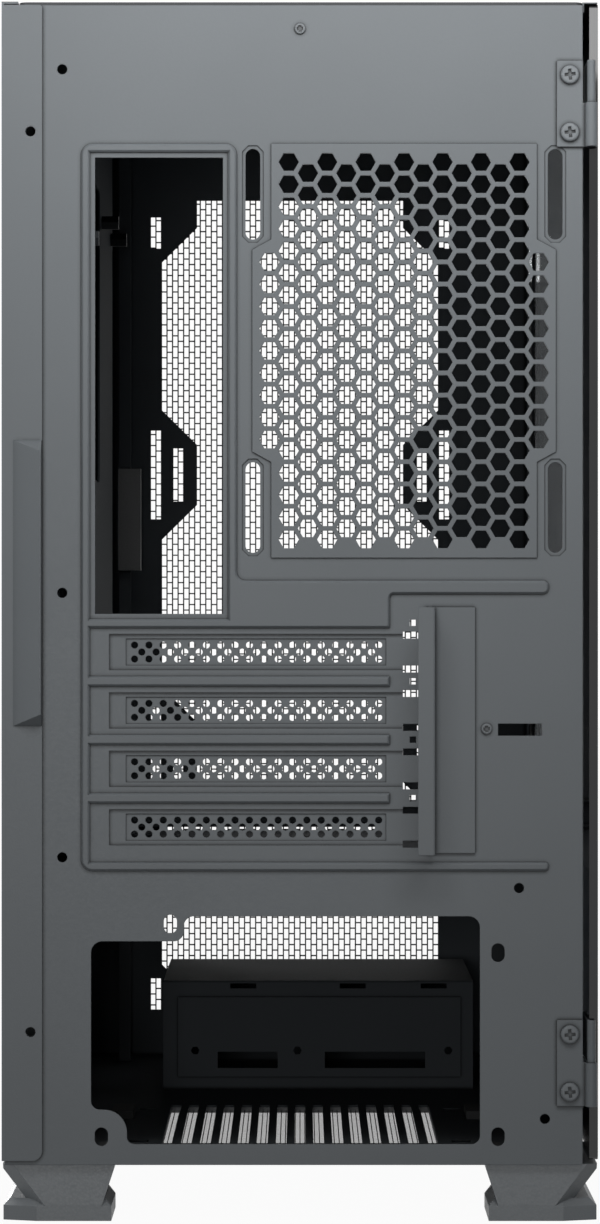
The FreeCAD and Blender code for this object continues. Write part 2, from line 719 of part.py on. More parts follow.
def hinges():
    """Two lift-off hinges: case leaves with knuckles, door leaves with pins, and the screws."""
    screws = []
    for name, bottom in (("upper", "(case_height - hinge_top_drop)"), ("lower", "hinge_lower")):
        leaf = Sheet(f"{name}_case_leaf")
        plate = leaf.sketch("XZ_Plane", REAR)
        rectangle(plate, HINGE_LEFT, bottom, RIGHT, f"{bottom} + hinge_height")
        levels = [f"{bottom} + hinge_height / 2 + {side} * hinge_screw_pitch / 2"
                  for side in FAN_SIDES]
        middle = f"({HINGE_LEFT} + {RIGHT}) / 2"
        for level in levels:
            hexagon(plate, middle, level, "screw_shank / 2 + screw_play")
        leaf.pad(plate, "hinge_leaf")
        tongue = leaf.sketch("XY_Plane", bottom)
        rectangle(tongue, f"{RIGHT} - 2", f"{REAR} - hinge_leaf", HINGE_AXIS, REAR)
        leaf.pad(tongue, "knuckle_height")
        knuckle = leaf.sketch("XY_Plane", bottom)
        circle(knuckle, HINGE_AXIS, HINGE_DEPTH, "knuckle_radius")
        leaf.pad(knuckle, "knuckle_height")
        bore = leaf.sketch("XY_Plane", f"{bottom} + knuckle_height")
        circle(bore, HINGE_AXIS, HINGE_DEPTH, "pin_radius + pin_play")
        leaf.cut(bore, "knuckle_height")

        door_leaf = Sheet(f"{name}_door_leaf")
        seat = f"({bottom} + knuckle_height + slide_gap)"
        arm = door_leaf.sketch("XY_Plane", seat)
        rectangle(arm, f"{DOOR_INNER} - steel", HINGE_DEPTH, DOOR_INNER, f"{GLASS_REAR} + 30")
        door_leaf.pad(arm, f"{bottom} + hinge_height - {seat}")
        pin = door_leaf.sketch("XY_Plane", f"{bottom} + 0.5")
        circle(pin, HINGE_AXIS, HINGE_DEPTH, "pin_radius")
        door_leaf.pad(pin, "hinge_height - 0.5")

        for level in levels:
            seat = FreeCAD.Vector(value(middle), value(f"{REAR} - hinge_leaf"), value(level))
            screws.append(screw(seat, FreeCAD.Vector(0, 1, 0), "hinge_screw_head",
                                "hinge_screw_height", "screw_shank", "hinge_leaf"))
    group("hinge_screws", screws)


def glass_door():
    """Tempered glass side door with the steel strip that its magnets hold."""
    glass = Sheet("glass_door")
    sheet_face = glass.sketch("YZ_Plane", DOOR_INNER)
    rectangle(sheet_face, GLASS_REAR, "door_bottom", PANEL_FRONT, "case_height - door_top_gap", 2)
    glass.pad(sheet_face, "glass")
    strip_front = f"({PANEL_FRONT} - 3)"
    node(block("door_strip", (f"{DOOR_INNER} - steel", DOOR_INNER),
               (f"{strip_front} - 10", strip_front), (60, "case_height - 60")))
    middle = f"({strip_front} - 5)"
    magnets, rests = [], []
    magnet = value(f"{DOOR_INNER} - steel - slide_gap - {RIGHT}")
    rest = value(f"{DOOR_INNER} - slide_gap - {RIGHT}")
    for level in ("panel_screw_lower", f"{PANEL_SCREW_UPPER} - 25"):
        corner = FreeCAD.Vector(value(RIGHT), value(f"{middle} - 4"), value(level))
        magnets.append(Part.makeBox(magnet, 8, 25, corner))
    for across in (f"{FLANGE_REAR_END} + 60", f"{FLANGE_FRONT_END} - 60"):
        for level in (f"{FLOOR_TOP} + 3", f"{TOP_UNDER} - 11"):
            corner = FreeCAD.Vector(value(RIGHT), value(across), value(level))
            rests.append(Part.makeBox(rest, 8, 8, corner))
    group("door_magnets", magnets)
    group("door_rests", rests)


def side_panel():
    """Steel side panel that slides back: rear flange, top lip and raised finger grip."""
    flange_face = f"({REAR} - slide_gap)"
    panel = Sheet("side_panel")
    wall = panel.sketch("YZ_Plane", f"-1 * {SIDE}")
    rectangle(wall, f"{flange_face} - steel", "panel_bottom", PANEL_FRONT, "case_height")
    panel.pad(wall, "steel")
    back = panel.sketch("XZ_Plane", flange_face)
    inner_edge = f"(panel_flange - {SIDE})"
    polygon(back, [(f"-1 * {SIDE}", "panel_bottom"), (inner_edge, "panel_bottom", 3.5),
                   (inner_edge, TOP, 1), (f"-1 * {SIDE}", TOP)])
    for level in (PANEL_SCREW_UPPER, "panel_screw_lower"):
        circle(back, f"panel_screw_inset - {SIDE}", level, "screw_hole / 2")
    panel.pad(back, "steel")
    lip = panel.sketch("XY_Plane", "case_height - steel")
    rectangle(lip, f"-1 * {SIDE}", f"{flange_face} - steel", f"panel_lip - {SIDE}", PANEL_FRONT)
    panel.pad(lip, "steel")
    grip = panel.body.newObject("PartDesign::AdditiveWedge", "side_panel_grip")
    sizes = {"Xmin": "0", "Xmax": "grip_width", "X2min": "grip_width - 0.4",
             "X2max": "grip_width", "Ymin": "0", "Ymax": "grip_rise",
             "Zmin": "0", "Zmax": "grip_height", "Z2min": "grip_end_slope",
             "Z2max": "grip_height - grip_end_slope"}
    for name, text in sizes.items():
        grip.setExpression(name, bind(text))
    turned = FreeCAD.Rotation(FreeCAD.Vector(1, 0, 0), 180)
    grip.Placement = FreeCAD.Placement(FreeCAD.Vector(0, 0, 0), turned)
    grip.setExpression("Placement.Base.x", bind(f"{inner_edge} - grip_width - 0.2"))
    grip.setExpression("Placement.Base.y", bind(f"{flange_face} - steel"))
    grip.setExpression("Placement.Base.z", bind("grip_bottom + grip_height"))


def chassis_floor():
    """Floor pan with upturned sides, vent slots and clip slots."""
    floor = Sheet("chassis_floor")
    pan = floor.sketch("XY_Plane", "foot_height")
    rectangle(pan, LEFT, INSIDE_REAR, RIGHT, INSIDE_FRONT)
    floor.pad(pan, "steel")
    for level in (LEFT, f"{RIGHT} - steel"):
        edge = floor.sketch("YZ_Plane", level)
        rectangle(edge, FLANGE_REAR_END, FLOOR_TOP, FLANGE_FRONT_END, f"{FLOOR_TOP} + flange")
        floor.pad(edge, "steel")
    clips = floor.sketch("XY_Plane", FLOOR_TOP)
    for side in FAN_SIDES:
        for depth in ("vent_start + 3", "vent_start + vent_length - 16"):
            x, y = f"{side} * 58.4", f"{REAR} + {depth}"
            rectangle(clips, f"{x} - 3.5", y, f"{x} + 3.5", f"{y} + 6")
    floor.cut(clips, "steel")
    vent = floor.sketch("XY_Plane", FLOOR_TOP)
    x = "(-1 * (vent_count - 1) / 2 * vent_pitch)"
    rectangle(vent, f"{x} - vent_width / 2", f"{REAR} + vent_start", f"{x} + vent_width / 2",
              f"{REAR} + vent_start + vent_length")
    slot = floor.cut(vent, "steel")
    floor.grid(slot, vent, "vent_count", "vent_pitch", 1, "vent_length")


def chassis_top():
    """Top sheet with down-turned sides and four columns of vents below the top filter."""
    top = Sheet("chassis_top")
    pan = top.sketch("XY_Plane", TOP_UNDER)
    rectangle(pan, LEFT, INSIDE_REAR, RIGHT, INSIDE_FRONT)
    top.pad(pan, "steel")
    for level in (LEFT, f"{RIGHT} - steel"):
        edge = top.sketch("YZ_Plane", level)
        rectangle(edge, FLANGE_REAR_END, f"{TOP_UNDER} - flange", FLANGE_FRONT_END, TOP_UNDER)
        top.pad(edge, "steel")
    vent = top.sketch("XY_Plane", TOP)
    start = f"({INSIDE_REAR} + 60)"
    rectangle(vent, "-1 * top_vent_length - 5", start, "-5", f"{start} + top_vent_width")
    slot = top.cut(vent, "steel")
    top.grid(slot, vent, 2, "top_vent_length + 10", "top_vent_rows", "top_vent_pitch")


def front_plate():
    """Front chassis sheet: one tall opening with ears and slots for three fans."""
    plate = Sheet("front_plate")
    wall = plate.sketch("XZ_Plane", FRONT)
    rectangle(wall, LEFT, "foot_height", RIGHT, TOP)
    plate.pad(wall, "steel")
    for level in (LEFT, f"{RIGHT} - steel"):
        edge = plate.sketch("YZ_Plane", level)
        rectangle(edge, FLANGE_FRONT_END, FLOOR_TOP, INSIDE_FRONT, TOP_UNDER)
        plate.pad(edge, "steel")
    opening = plate.sketch("XZ_Plane", INSIDE_FRONT)
    tip = "(front_fan_half - front_ear_reach)"
    span = "(case_height - front_ear_drop - front_ear_rise)"
    ears = [f"(case_height - front_ear_drop - {number} / 3 * {span})" for number in range(4)]
    side = [(tip, "case_height - front_open_drop"), (tip, f"{ears[0]} - front_ear_tip"),
            ("front_fan_half", f"{ears[0]} - front_ear_base")]
    for ear in ears[1:3]:
        side += [("front_fan_half", f"{ear} + front_ear_base"), (tip, f"{ear} + front_ear_tip"),
                 (tip, f"{ear} - front_ear_tip"), ("front_fan_half", f"{ear} - front_ear_base")]
    side += [("front_fan_half", f"{ears[3]} + front_ear_base"), (tip, f"{ears[3]} + front_ear_tip"),
             (tip, "front_open_bottom")]
    other = [(f"-1 * {x}", z) for x, z in reversed(side)]
    polygon(opening, side + other)
    plate.cut(opening, "steel")
    slots = plate.sketch("XZ_Plane", INSIDE_FRONT)
    half = "front_slot_width / 2"
    for hand in FAN_SIDES:
        for ear in ears[1:3]:
            for spacing, reach in ((105, 11.5), (124.5, 19.2)):
                x = f"{hand} * {spacing / 2}"
                rectangle(slots, f"{x} - {half}", f"{ear} - {reach}", f"{x} + {half}",
                          f"{ear} + {reach}")
        for spacing, low, high in ((105, 1.5, 13), (124.5, 8.5, 22)):
            x = f"{hand} * {spacing / 2}"
            if spacing == 124.5:
                rectangle(slots, f"{x} - {half}", f"{ears[0]} - {high}", f"{x} + {half}",
                          f"{ears[0]} - {low}")
                rectangle(slots, f"{x} - {half}", f"{ears[3]} + {low}", f"{x} + {half}",
                          f"{ears[3]} + {high}")
    plate.cut(slots, "steel")


def board_tray():
    """Upright sheet that carries the board, with its cut-outs and brass standoffs."""
    tray = Sheet("board_tray")
    wall = tray.sketch("YZ_Plane", "tray_face - steel")
    front = f"({REAR} + tray_depth)"
    rectangle(wall, INSIDE_REAR, "shroud_top", front, TOP_UNDER)
    tray.pad(wall, "steel")
    openings = [(42, 108, "board_top - 108", "board_top + 4", 5)]
    above = f"({TOP_UNDER} - board_top - 4)"
    pass_low, pass_high = f"board_top + 4 + 0.42 * {above}", f"board_top + 4 + 0.75 * {above}"
    openings += [(depth, 38, pass_low, pass_high, None) for depth in (45, 110, 175)]
    openings += [(depth, 45, "shroud_top + 3.5", "shroud_top + 9.5", None) for depth in (60, 140)]
    for depth, length, low, high, corner in openings:
        hole = tray.sketch("YZ_Plane", "tray_face")
        rectangle(hole, f"{REAR} + {depth}", low, f"{REAR} + {depth + length}", high, corner)
        tray.cut(hole, "steel")
    standoffs = []
    rear_column = value(f"{INSIDE_REAR} + 1 + 10.16")
    top_row = value("board_top - 6.35")
    radius = value("standoff_flats") / math.sqrt(3)
    pattern = ((0, 20.32), (154.94, 0), (227.33, 0), (0, 157.48), (154.94, 157.48),
               (227.33, 157.48), (0, 223.52), (154.94, 223.52), (227.33, 223.52))
    for depth, drop in pattern:
        middle = FreeCAD.Vector(value("tray_face"), rear_column + depth, top_row - drop)
        along = FreeCAD.Vector(1, 0, 0)
        post = stud(6, radius, value("standoff_height"), middle, along)
        thread = Part.makeCylinder(1.4, value("standoff_height"), middle, along)
        standoffs.append(post.cut(thread))
    group("standoffs", standoffs)


def supply_shroud():
    """Shroud over the power supply: top sheet with cable gaps and the wall on the glass side."""
    shroud = Sheet("supply_shroud")
    top = shroud.sketch("XY_Plane", SHROUD_UNDER)
    inner = f"({RIGHT} - steel)"
    rectangle(top, f"{LEFT} + steel", INSIDE_REAR, inner, SHROUD_FRONT)
    shroud.pad(top, "steel")
    wall = shroud.sketch("YZ_Plane", f"{inner} - steel")
    rectangle(wall, INSIDE_REAR, FLOOR_TOP, SHROUD_FRONT, SHROUD_UNDER)
    shroud.pad(wall, "steel")
    gaps = shroud.sketch("XY_Plane", "shroud_top")
    for start in (f"{REAR} + 60", f"{REAR} + 150", f"{SHROUD_FRONT} - 75"):
        rectangle(gaps, "tray_face + 4", start, "tray_face + 16", f"{start} + 50")
    shroud.cut(gaps, "steel")
    pads = []
    level = value(FLOOR_TOP)
    rise = value(f"supply_hole_level - 6 - {FLOOR_TOP}")
    for side in FAN_SIDES:
        for depth in (8, 120):
            corner = FreeCAD.Vector(value("supply_middle") + side * 67 - 4,
                                    value(INSIDE_REAR) + depth, level)
            pads.append(Part.makeBox(8, 24, rise, corner))
    group("supply_pads", pads)


def drive_cage():
    """Drive cage bent from one sheet, with a pressed rear face, slots and notches."""
    cage = Sheet("drive_cage")
    front, top = f"({INSIDE_FRONT} - cage_front_gap)", f"({FLOOR_TOP} + cage_height)"
    rear = f"({front} - cage_depth)"
    section = cage.sketch("YZ_Plane", "cage_left")
    polygon(section, [
        (rear, FLOOR_TOP), (f"{rear} + steel", FLOOR_TOP), (f"{rear} + steel", f"{top} - steel"),
        (f"{front} - steel", f"{top} - steel"), (f"{front} - steel", FLOOR_TOP),
        (front, FLOOR_TOP), (front, top, 1.2), (rear, top, 1.2)])
    cage.pad(section, "cage_right - cage_left")
    face = cage.sketch("XZ_Plane", rear)
    rectangle(face, "cage_left + 6", f"{FLOOR_TOP} + 5", "cage_right - 5", f"{top} - 6.5")
    cage.pad(face, "cage_emboss")
    holes = cage.sketch("XZ_Plane", f"{rear} - cage_emboss")
    rectangle(holes, "cage_left + 22", f"{FLOOR_TOP} + 8.5", "cage_left + 46", f"{FLOOR_TOP} + 15")
    rectangle(holes, "cage_right - 59.5", f"{FLOOR_TOP} + 8.5", "cage_right - 19.3",
              f"{FLOOR_TOP} + 15")
    for across in ("cage_left + 12.9", "cage_left + 54", "cage_right - 10"):
        hexagon(holes, across, f"{FLOOR_TOP} + 15.5", 1.7)
    cage.cut(holes, "steel + cage_emboss")
    notches = cage.sketch("XZ_Plane", rear)
    for across in ("cage_left + 27", "cage_left + 71", "cage_right - 21"):
        rectangle(notches, across, f"{top} - 3", f"{across} + 10.4", f"{top} - steel - 0.2")
    cage.cut(notches, "steel")


def cable_bar():
    """Upright bar beside the front plate that cables are strapped to, with its clamp."""
    near, far = f"({INSIDE_FRONT} - 30)", INSIDE_FRONT
    bar = Sheet("cable_bar")
    section = bar.sketch("XY_Plane", FLOOR_TOP)
    polygon(section, [("tray_face", near), ("tray_face + 5", near), ("tray_face + 5", f"{near} + 3"),
                      ("tray_face + 1", f"{near} + 3"), ("tray_face + 1", far), ("tray_face", far)])
    bar.pad(section, f"{TOP_UNDER} - {FLOOR_TOP}")
    node(block("cable_clamp", ("tray_face", "tray_face + 9.5"), (f"{near} - 9", near),
               ("230", "273")))


def filter_and_runners():
    """Slide-out floor filter in two runners below the floor."""
    half = f"({SIDE} - foot_width - foot_gap - runner_width - slide_gap)"
    upper = "(foot_height - slide_gap)"
    lower = f"({upper} - filter_height)"
    near, far = f"({REAR} + filter_start)", f"({REAR} + filter_start + filter_length)"
    frame = Sheet("floor_filter")
    plate = frame.sketch("XY_Plane", lower)
    rectangle(plate, f"-1 * {half}", near, half, far)
    frame.pad(plate, "filter_height")
    sunk = frame.sketch("XY_Plane", upper)
    rectangle(sunk, f"filter_border - {half}", f"{near} + filter_border",
              f"{half} - filter_border", f"{far} - filter_border")
    frame.cut(sunk, "filter_height - filter_web")
    for side, name in ((-1, "left"), (1, "right")):
        runner = Sheet(f"filter_runner_{name}")
        section = runner.sketch("XZ_Plane", far)
        inner = f"{side} * ({half} + slide_gap)"
        outer = f"{side} * ({half} + slide_gap + runner_width)"
        lip = f"{side} * ({half} - runner_lip)"
        floor = f"({lower} - slide_gap)"
        polygon(section, [(inner, "foot_height"), (outer, "foot_height"),
                          (outer, f"{floor} - runner_wall"), (lip, f"{floor} - runner_wall"),
                          (lip, floor), (inner, floor)])
        runner.pad(section, "filter_length")


def feet():
    """Four moulded feet: a tapered neck on a wider base, with rubber pads below."""
    outer = f"(0 - {SIDE})"
    inner = f"({outer} + foot_width)"
    near = f"({REAR} + foot_set_in)"
    foot = Sheet("foot_rear_left")
    base = foot.sketch("XY_Plane", "foot_pad_height")
    polygon(base, [(f"{outer} + 13.5", f"{near} + 3"), (f"{inner} - 2", f"{near} + 3"),
                   (f"{inner} - 0.3", f"{near} + 12"), (f"{inner} - 0.3", f"{near} + foot_length"),
                   (f"{outer} + 0.2", f"{near} + foot_length"), (f"{outer} + 0.2", f"{near} + 20")])
    bottom = foot.pad(base, "foot_base_height - foot_pad_height")
    crest = value("foot_base_height")

    def on_rim(edge):
        return abs(edge.BoundBox.ZMin - crest) < 1e-4 and abs(edge.BoundBox.ZMax - crest) < 1e-4

    foot.bevel(bottom, 1.5, on_rim)
    neck = foot.body.newObject("PartDesign::AdditiveWedge", "foot_neck")
    sizes = {"Xmin": "foot_taper", "Xmax": "foot_width - foot_taper / 2.7", "X2min": "0",
             "X2max": "foot_width", "Ymin": "0", "Ymax": "foot_height - foot_base_height + 2",
             "Zmin": "foot_setback", "Zmax": "foot_length - 13", "Z2min": "0",
             "Z2max": "foot_length - 4"}
    for name, expression in sizes.items():
        neck.setExpression(name, bind(expression))
    upright = FreeCAD.Rotation(FreeCAD.Vector(1, 0, 0), 90)
    neck.Placement = FreeCAD.Placement(FreeCAD.Vector(0, 0, 0), upright)
    neck.setExpression("Placement.Base.x", bind(outer))
    neck.setExpression("Placement.Base.y", bind(f"{near} + foot_length - 4"))
    neck.setExpression("Placement.Base.z", bind("foot_base_height - 2"))
    middle = f"({REAR} + {FRONT}) / 2"
    mirrored = (("foot_rear_right", foot.body, (1, 0, 0)), ("foot_front_left", foot.body, (0, 1, 0)))
    for label, source, normal in mirrored:
        copy = doc.addObject("Part::Mirroring", label)
        copy.Source = source
        copy.Normal = FreeCAD.Vector(normal)
        copy.setExpression("Base.y", bind(middle))
        node(copy)
    last = doc.addObject("Part::Mirroring", "foot_front_right")
    last.Source = nodes[-1]
    last.Normal = FreeCAD.Vector(1, 0, 0)
    node(last)
    pads = []
    length, width = value("foot_length") - 30, value("foot_width") - 16
    for side in FAN_SIDES:
        for end in FAN_SIDES:
            x = side * value(f"{SIDE} - foot_width / 2") - width / 2
            depth = value(f"{FRONT} - {REAR}") / 2 - value("foot_set_in") - value("foot_length") + 4
            y = value(middle) + end * (depth + length / 2) - length / 2
            pads.append(Part.makeBox(width, length, value("foot_pad_height"),
                                     FreeCAD.Vector(x, y, 0)))
    group("foot_pads", pads)


def top_filter():
    """Thin magnetic filter mat lying on the chassis top."""
    mat = Sheet("top_filter")
    flat = mat.sketch("XY_Plane", TOP)
    left = f"(panel_lip - {SIDE} + slide_gap)"
    rectangle(flat, left, f"{REAR} + 0.5", RIGHT, f"{INSIDE_FRONT} - top_filter_margin", 3)
    mat.pad(flat, f"case_height - {TOP}")
    sunk = mat.sketch("XY_Plane", "case_height")
    rectangle(sunk, f"{left} + 9", f"{REAR} + 9.5", f"{RIGHT} - 9",
              f"{INSIDE_FRONT} - top_filter_margin - 9")
    mat.cut(sunk, "0.4")


def front_bezel():
    """Moulded front frame, the perforated sheet behind its window, and the connector block."""
    bezel = Sheet("front_bezel")
    low, high = "foot_height", TOP
    shell = bezel.sketch("XZ_Plane", "case_depth / 2")
    rectangle(shell, f"-1 * {SIDE}", low, SIDE, high, "bezel_corner")
    body = bezel.pad(shell, "bezel_depth")
    face = value("case_depth / 2")

    def on_face(edge):
        return abs(edge.BoundBox.YMin - face) < 1e-4

    bezel.bevel(body, "2.0", on_face)
    hollow = bezel.sketch("XZ_Plane", FRONT)
    rectangle(hollow, f"bezel_wall - {SIDE}", f"{low} + bezel_wall", f"{SIDE} - bezel_wall",
              f"{high} - bezel_wall", "bezel_corner - bezel_wall")
    bezel.cut(hollow, "bezel_depth - bezel_face")
    window = bezel.sketch("XZ_Plane", FRONT)
    left, right = f"(bezel_border - {SIDE})", f"({SIDE} - bezel_border)"
    bottom, top = f"({low} + bezel_border)", f"({high} - bezel_border)"
    rectangle(window, left, bottom, right, top, 5)
    bezel.cut(window, "bezel_depth")
    openings = bezel.sketch("XY_Plane", TOP)
    line = "(case_depth / 2 - connector_from_front)"
    circle(openings, "-45", line, "power_radius + button_play")
    circle(openings, "-27", line, "reset_radius + button_play")
    for x in (-8, 12):
        rectangle(openings, f"{x} - 6.8", f"{line} - 3.2", f"{x} + 6.8", f"{line} + 3.2")
    for x in (31, 43):
        circle(openings, x, line, 3.2)
    bezel.cut(openings, "bezel_wall")

    mesh = Sheet("front_mesh")
    back = "(case_depth / 2 - bezel_face)"
    plate = mesh.sketch("XZ_Plane", back)
    rectangle(plate, f"{left} - mesh_margin", f"{bottom} - mesh_margin", f"{right} + mesh_margin",
              f"{top} + mesh_margin")
    mesh.pad(plate, "mesh_sheet")
    gap = mesh.sketch("XZ_Plane", f"{back} - mesh_sheet")
    column = f"(({right} - {left}) / mesh_columns)"
    row = f"(({top} - {bottom}) / mesh_rows)"
    rectangle(gap, f"{left} + mesh_bar / 2", f"{bottom} + mesh_bar / 2",
              f"{left} + {column} - mesh_bar / 2", f"{bottom} + {row} - mesh_bar / 2")
    hole = mesh.cut(gap, "mesh_sheet")
    mesh.grid(hole, gap, "mesh_columns", column, "mesh_rows", row)

    # Connector block under the bezel's top wall, with its board below
    ceiling = f"({TOP} - bezel_wall)"
    bed = f"({ceiling} - block_height)"
    holder = Sheet("connector_block")
    outline = holder.sketch("XY_Plane", bed)
    rectangle(outline, "-1 * block_length / 2", f"{line} - block_width / 2", "block_length / 2",
              f"{line} + block_width / 2")
    holder.pad(outline, "block_height")
    wells = holder.sketch("XY_Plane", ceiling)
    for x, radius in (("-45", "power_radius"), ("-27", "reset_radius")):
        reach = f"({radius} + button_collar + button_play)"
        rectangle(wells, f"{x} - {reach}", f"{line} - {reach}", f"{x} + {reach}", f"{line} + {reach}")
    for x in (-8, 12):
        rectangle(wells, f"{x} - 6.7", f"{line} - 3.1", f"{x} + 6.7", f"{line} + 3.1")
    for x in (31, 43):
        rectangle(wells, f"{x} - 3.1", f"{line} - 3.1", f"{x} + 3.1", f"{line} + 3.1")
    holder.cut(wells, "block_height")
    node(block("connector_board", ("-1 * block_length / 2", "block_length / 2"),
               (f"{line} - block_width / 2", f"{line} + block_width / 2"),
               (f"{bed} - board_sheet", bed)))
    for label, x, radius in (("power_button", "-45", "power_radius"),
                             ("reset_button", "-27", "reset_radius")):
        button = Sheet(label)
        foot = f"({bed} + button_travel + 0.3)"
        stem = button.sketch("XY_Plane", foot)
        circle(stem, x, line, radius)
        button.pad(stem, f"{TOP} + button_rise - {foot}")
        ring = button.sketch("XY_Plane", f"{ceiling} - slide_gap - 1.5")
        reach = f"({radius} + button_collar)"
        rectangle(ring, f"{x} - {reach}", f"{line} - {reach}", f"{x} + {reach}", f"{line} + {reach}")
        button.pad(ring, "1.5")
    sockets, jacks = [], []
    level, middle = value(bed), value(line)
    rise = value(f"{TOP} - 0.4") - level
    for x in (-8, 12):
        shell_box = Part.makeBox(13.2, 6.0, rise, FreeCAD.Vector(x - 6.6, middle - 3.0, level))
        cavity = Part.makeBox(12.4, 5.2, 9, FreeCAD.Vector(x - 6.2, middle - 2.6, level + rise - 9))
        tongue = Part.makeBox(11, 1.6, 8, FreeCAD.Vector(x - 5.5, middle - 2.6, level + rise - 9))
        sockets.append(shell_box.cut(cavity).fuse(tongue).removeSplitter())
    for x in (31, 43):
        base, up = FreeCAD.Vector(x, middle, level), FreeCAD.Vector(0, 0, 1)
        bore = stud(12, 1.8, 9, base + up * (rise - 9), up)
        jacks.append(stud(12, 3.0, rise, base, up).cut(bore))
    group("data_sockets", sockets)
    group("audio_jacks", jacks)


rear_panel()
slot_covers()
slot_guard()
small_screws()
hinges()
glass_door()
side_panel()
chassis_floor()
chassis_top()
front_plate()
board_tray()
supply_shroud()
drive_cage()
cable_bar()
filter_and_runners()
feet()
top_filter()
front_bezel()
doc.recompute()

# Nothing is written unless every object is sound
for item in doc.Objects:
    if "Invalid" in item.State or "Error" in item.State:
        raise RuntimeError(f"{item.Label} failed: {item.State}")
    if item.TypeId == "PartDesign::Pocket":
        if item.Shape.Volume >= item.BaseFeature.Shape.Volume - 1e-6:
            raise RuntimeError(f"{item.Label} cuts nothing")
for item in nodes:
    if item.Shape.isNull() or not item.Shape.isValid():
        raise RuntimeError(f"{item.Label} has no valid shape")

os.makedirs("parts", exist_ok=True)
for item in nodes:
    item.Shape.exportStep(f"parts/{item.Label}.step")
print(f"{len(nodes)} pieces written")
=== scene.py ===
"""Looks for a steel tower computer case: fine pieces, finishes, light and camera."""
import json
import math

import bpy
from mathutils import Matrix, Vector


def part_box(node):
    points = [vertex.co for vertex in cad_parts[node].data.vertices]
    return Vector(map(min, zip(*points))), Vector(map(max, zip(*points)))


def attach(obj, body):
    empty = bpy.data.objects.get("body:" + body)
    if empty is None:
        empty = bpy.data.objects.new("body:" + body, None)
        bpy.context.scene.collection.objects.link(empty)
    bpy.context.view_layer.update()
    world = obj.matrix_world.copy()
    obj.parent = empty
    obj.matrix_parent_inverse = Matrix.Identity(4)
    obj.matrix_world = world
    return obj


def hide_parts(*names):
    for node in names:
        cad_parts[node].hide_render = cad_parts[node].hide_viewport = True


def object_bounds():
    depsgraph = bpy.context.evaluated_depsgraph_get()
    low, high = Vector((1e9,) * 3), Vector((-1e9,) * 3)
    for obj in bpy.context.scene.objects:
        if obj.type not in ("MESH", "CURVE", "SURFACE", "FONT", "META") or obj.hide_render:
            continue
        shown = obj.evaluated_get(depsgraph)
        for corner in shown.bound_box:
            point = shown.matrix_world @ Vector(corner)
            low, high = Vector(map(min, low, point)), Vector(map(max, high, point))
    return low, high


bl_info = {
    "name": "Tower computer case",
    "version": (1, 0, 0),
    "blender": (4, 5, 0),
    "location": "View3D > Sidebar > Case",
    "description": "Adds the fine pieces and the finishes to a tower computer case",
    "category": "Object",
}

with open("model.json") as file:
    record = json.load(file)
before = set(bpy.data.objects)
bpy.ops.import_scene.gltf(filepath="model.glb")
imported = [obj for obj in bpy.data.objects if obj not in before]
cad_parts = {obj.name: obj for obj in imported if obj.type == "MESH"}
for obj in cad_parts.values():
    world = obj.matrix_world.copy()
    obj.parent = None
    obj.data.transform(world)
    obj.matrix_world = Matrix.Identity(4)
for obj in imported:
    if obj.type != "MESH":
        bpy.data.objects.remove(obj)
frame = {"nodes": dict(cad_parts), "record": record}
CAD_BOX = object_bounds()

# Points closer than this are one point, in metres
TOUCHING = 0.00002


def linear(hexadecimal):
    """sRGB hex text as linear red, green and blue."""
    parts = [int(hexadecimal[start:start + 2], 16) / 255 for start in (1, 3, 5)]
    return tuple(part / 12.92 if part <= 0.04045 else ((part + 0.055) / 1.055) ** 2.4 for part in parts)


def colour_property(name, description, hexadecimal):
    """Colour that the sidebar shows, written as sRGB hex."""
    return bpy.props.FloatVectorProperty(name=name, description=description, subtype="COLOR", size=3,
                                         min=0, max=1, default=linear(hexadecimal))


def length_property(name, description, millimetres):
    """Length that the sidebar shows, written in millimetres."""
    return bpy.props.FloatProperty(name=name, description=description, unit="LENGTH", precision=5,
                                   default=millimetres / 1000)


class CaseFinishes(bpy.types.PropertyGroup):
    """Colours of the case's finishes, and the border printed on its glass."""
    # Painted light and shade: the grey outer coat is painted lighter for the lamp light on the outside, and
    # the black inner coat darker for the shade inside the case; both stand for one paint
    lit_outer_coat: colour_property("Grey coat", "Powder coat of the outer sheets", "#5E6265")
    shaded_inner_coat: colour_property("Black coat", "Powder coat of the inner sheets", "#36393C")
    feet: colour_property("Feet", "Moulded plastic of the feet", "#4F5356")
    black_plastic: colour_property("Black plastic", "Moulded plastic of the front frame", "#1F2123")
    glass_tint: colour_property("Glass tint", "Colour of the light that comes through the door", "#A2A6A9")
    glass_border: colour_property("Glass border", "Enamel printed along the door's edges", "#0B0C0D")
    screw: colour_property("Screw", "Paint of the screws", "#64686B")
    standoff: colour_property("Standoff", "Blackened steel of the standoffs", "#2E3032")
    rubber: colour_property("Rubber", "Pads and rests", "#161718")
    glass_band: length_property("Glass band", "Width of the printed border on three sides", 14)
    hinge_band: length_property("Hinge band", "Width of the printed border beside the hinges", 30)


class CaseMesh(bpy.types.PropertyGroup):
    """Sizes of the fine front mesh."""
    column_pitch: length_property("Column pitch", "Distance between columns of cells", 2.45)
    row_pitch: length_property("Row pitch", "Distance between rows of cells", 4.85)
    bar: length_property("Bar", "Width of the metal between two cells", 0.55)
    thickness: length_property("Thickness", "Thickness of the mesh sheet", 0.8)
    rim: length_property("Rim", "Plain border that the front frame holds", 4.0)


class CaseFilter(bpy.types.PropertyGroup):
    """Sizes of the floor filter."""
    border: length_property("Border", "Width of the moulded frame", 8.0)
    pitch: length_property("Pitch", "Distance between threads", 1.8)
    thread: length_property("Thread", "Width of one thread", 0.35)
    thickness: length_property("Thickness", "Thickness of the cloth", 0.1)
    cloth_level: length_property("Cloth level", "Height of the cloth above the frame's underside", 0.8)
    edge: length_property("Edge", "Rounding of the frame's edges", 0.4)


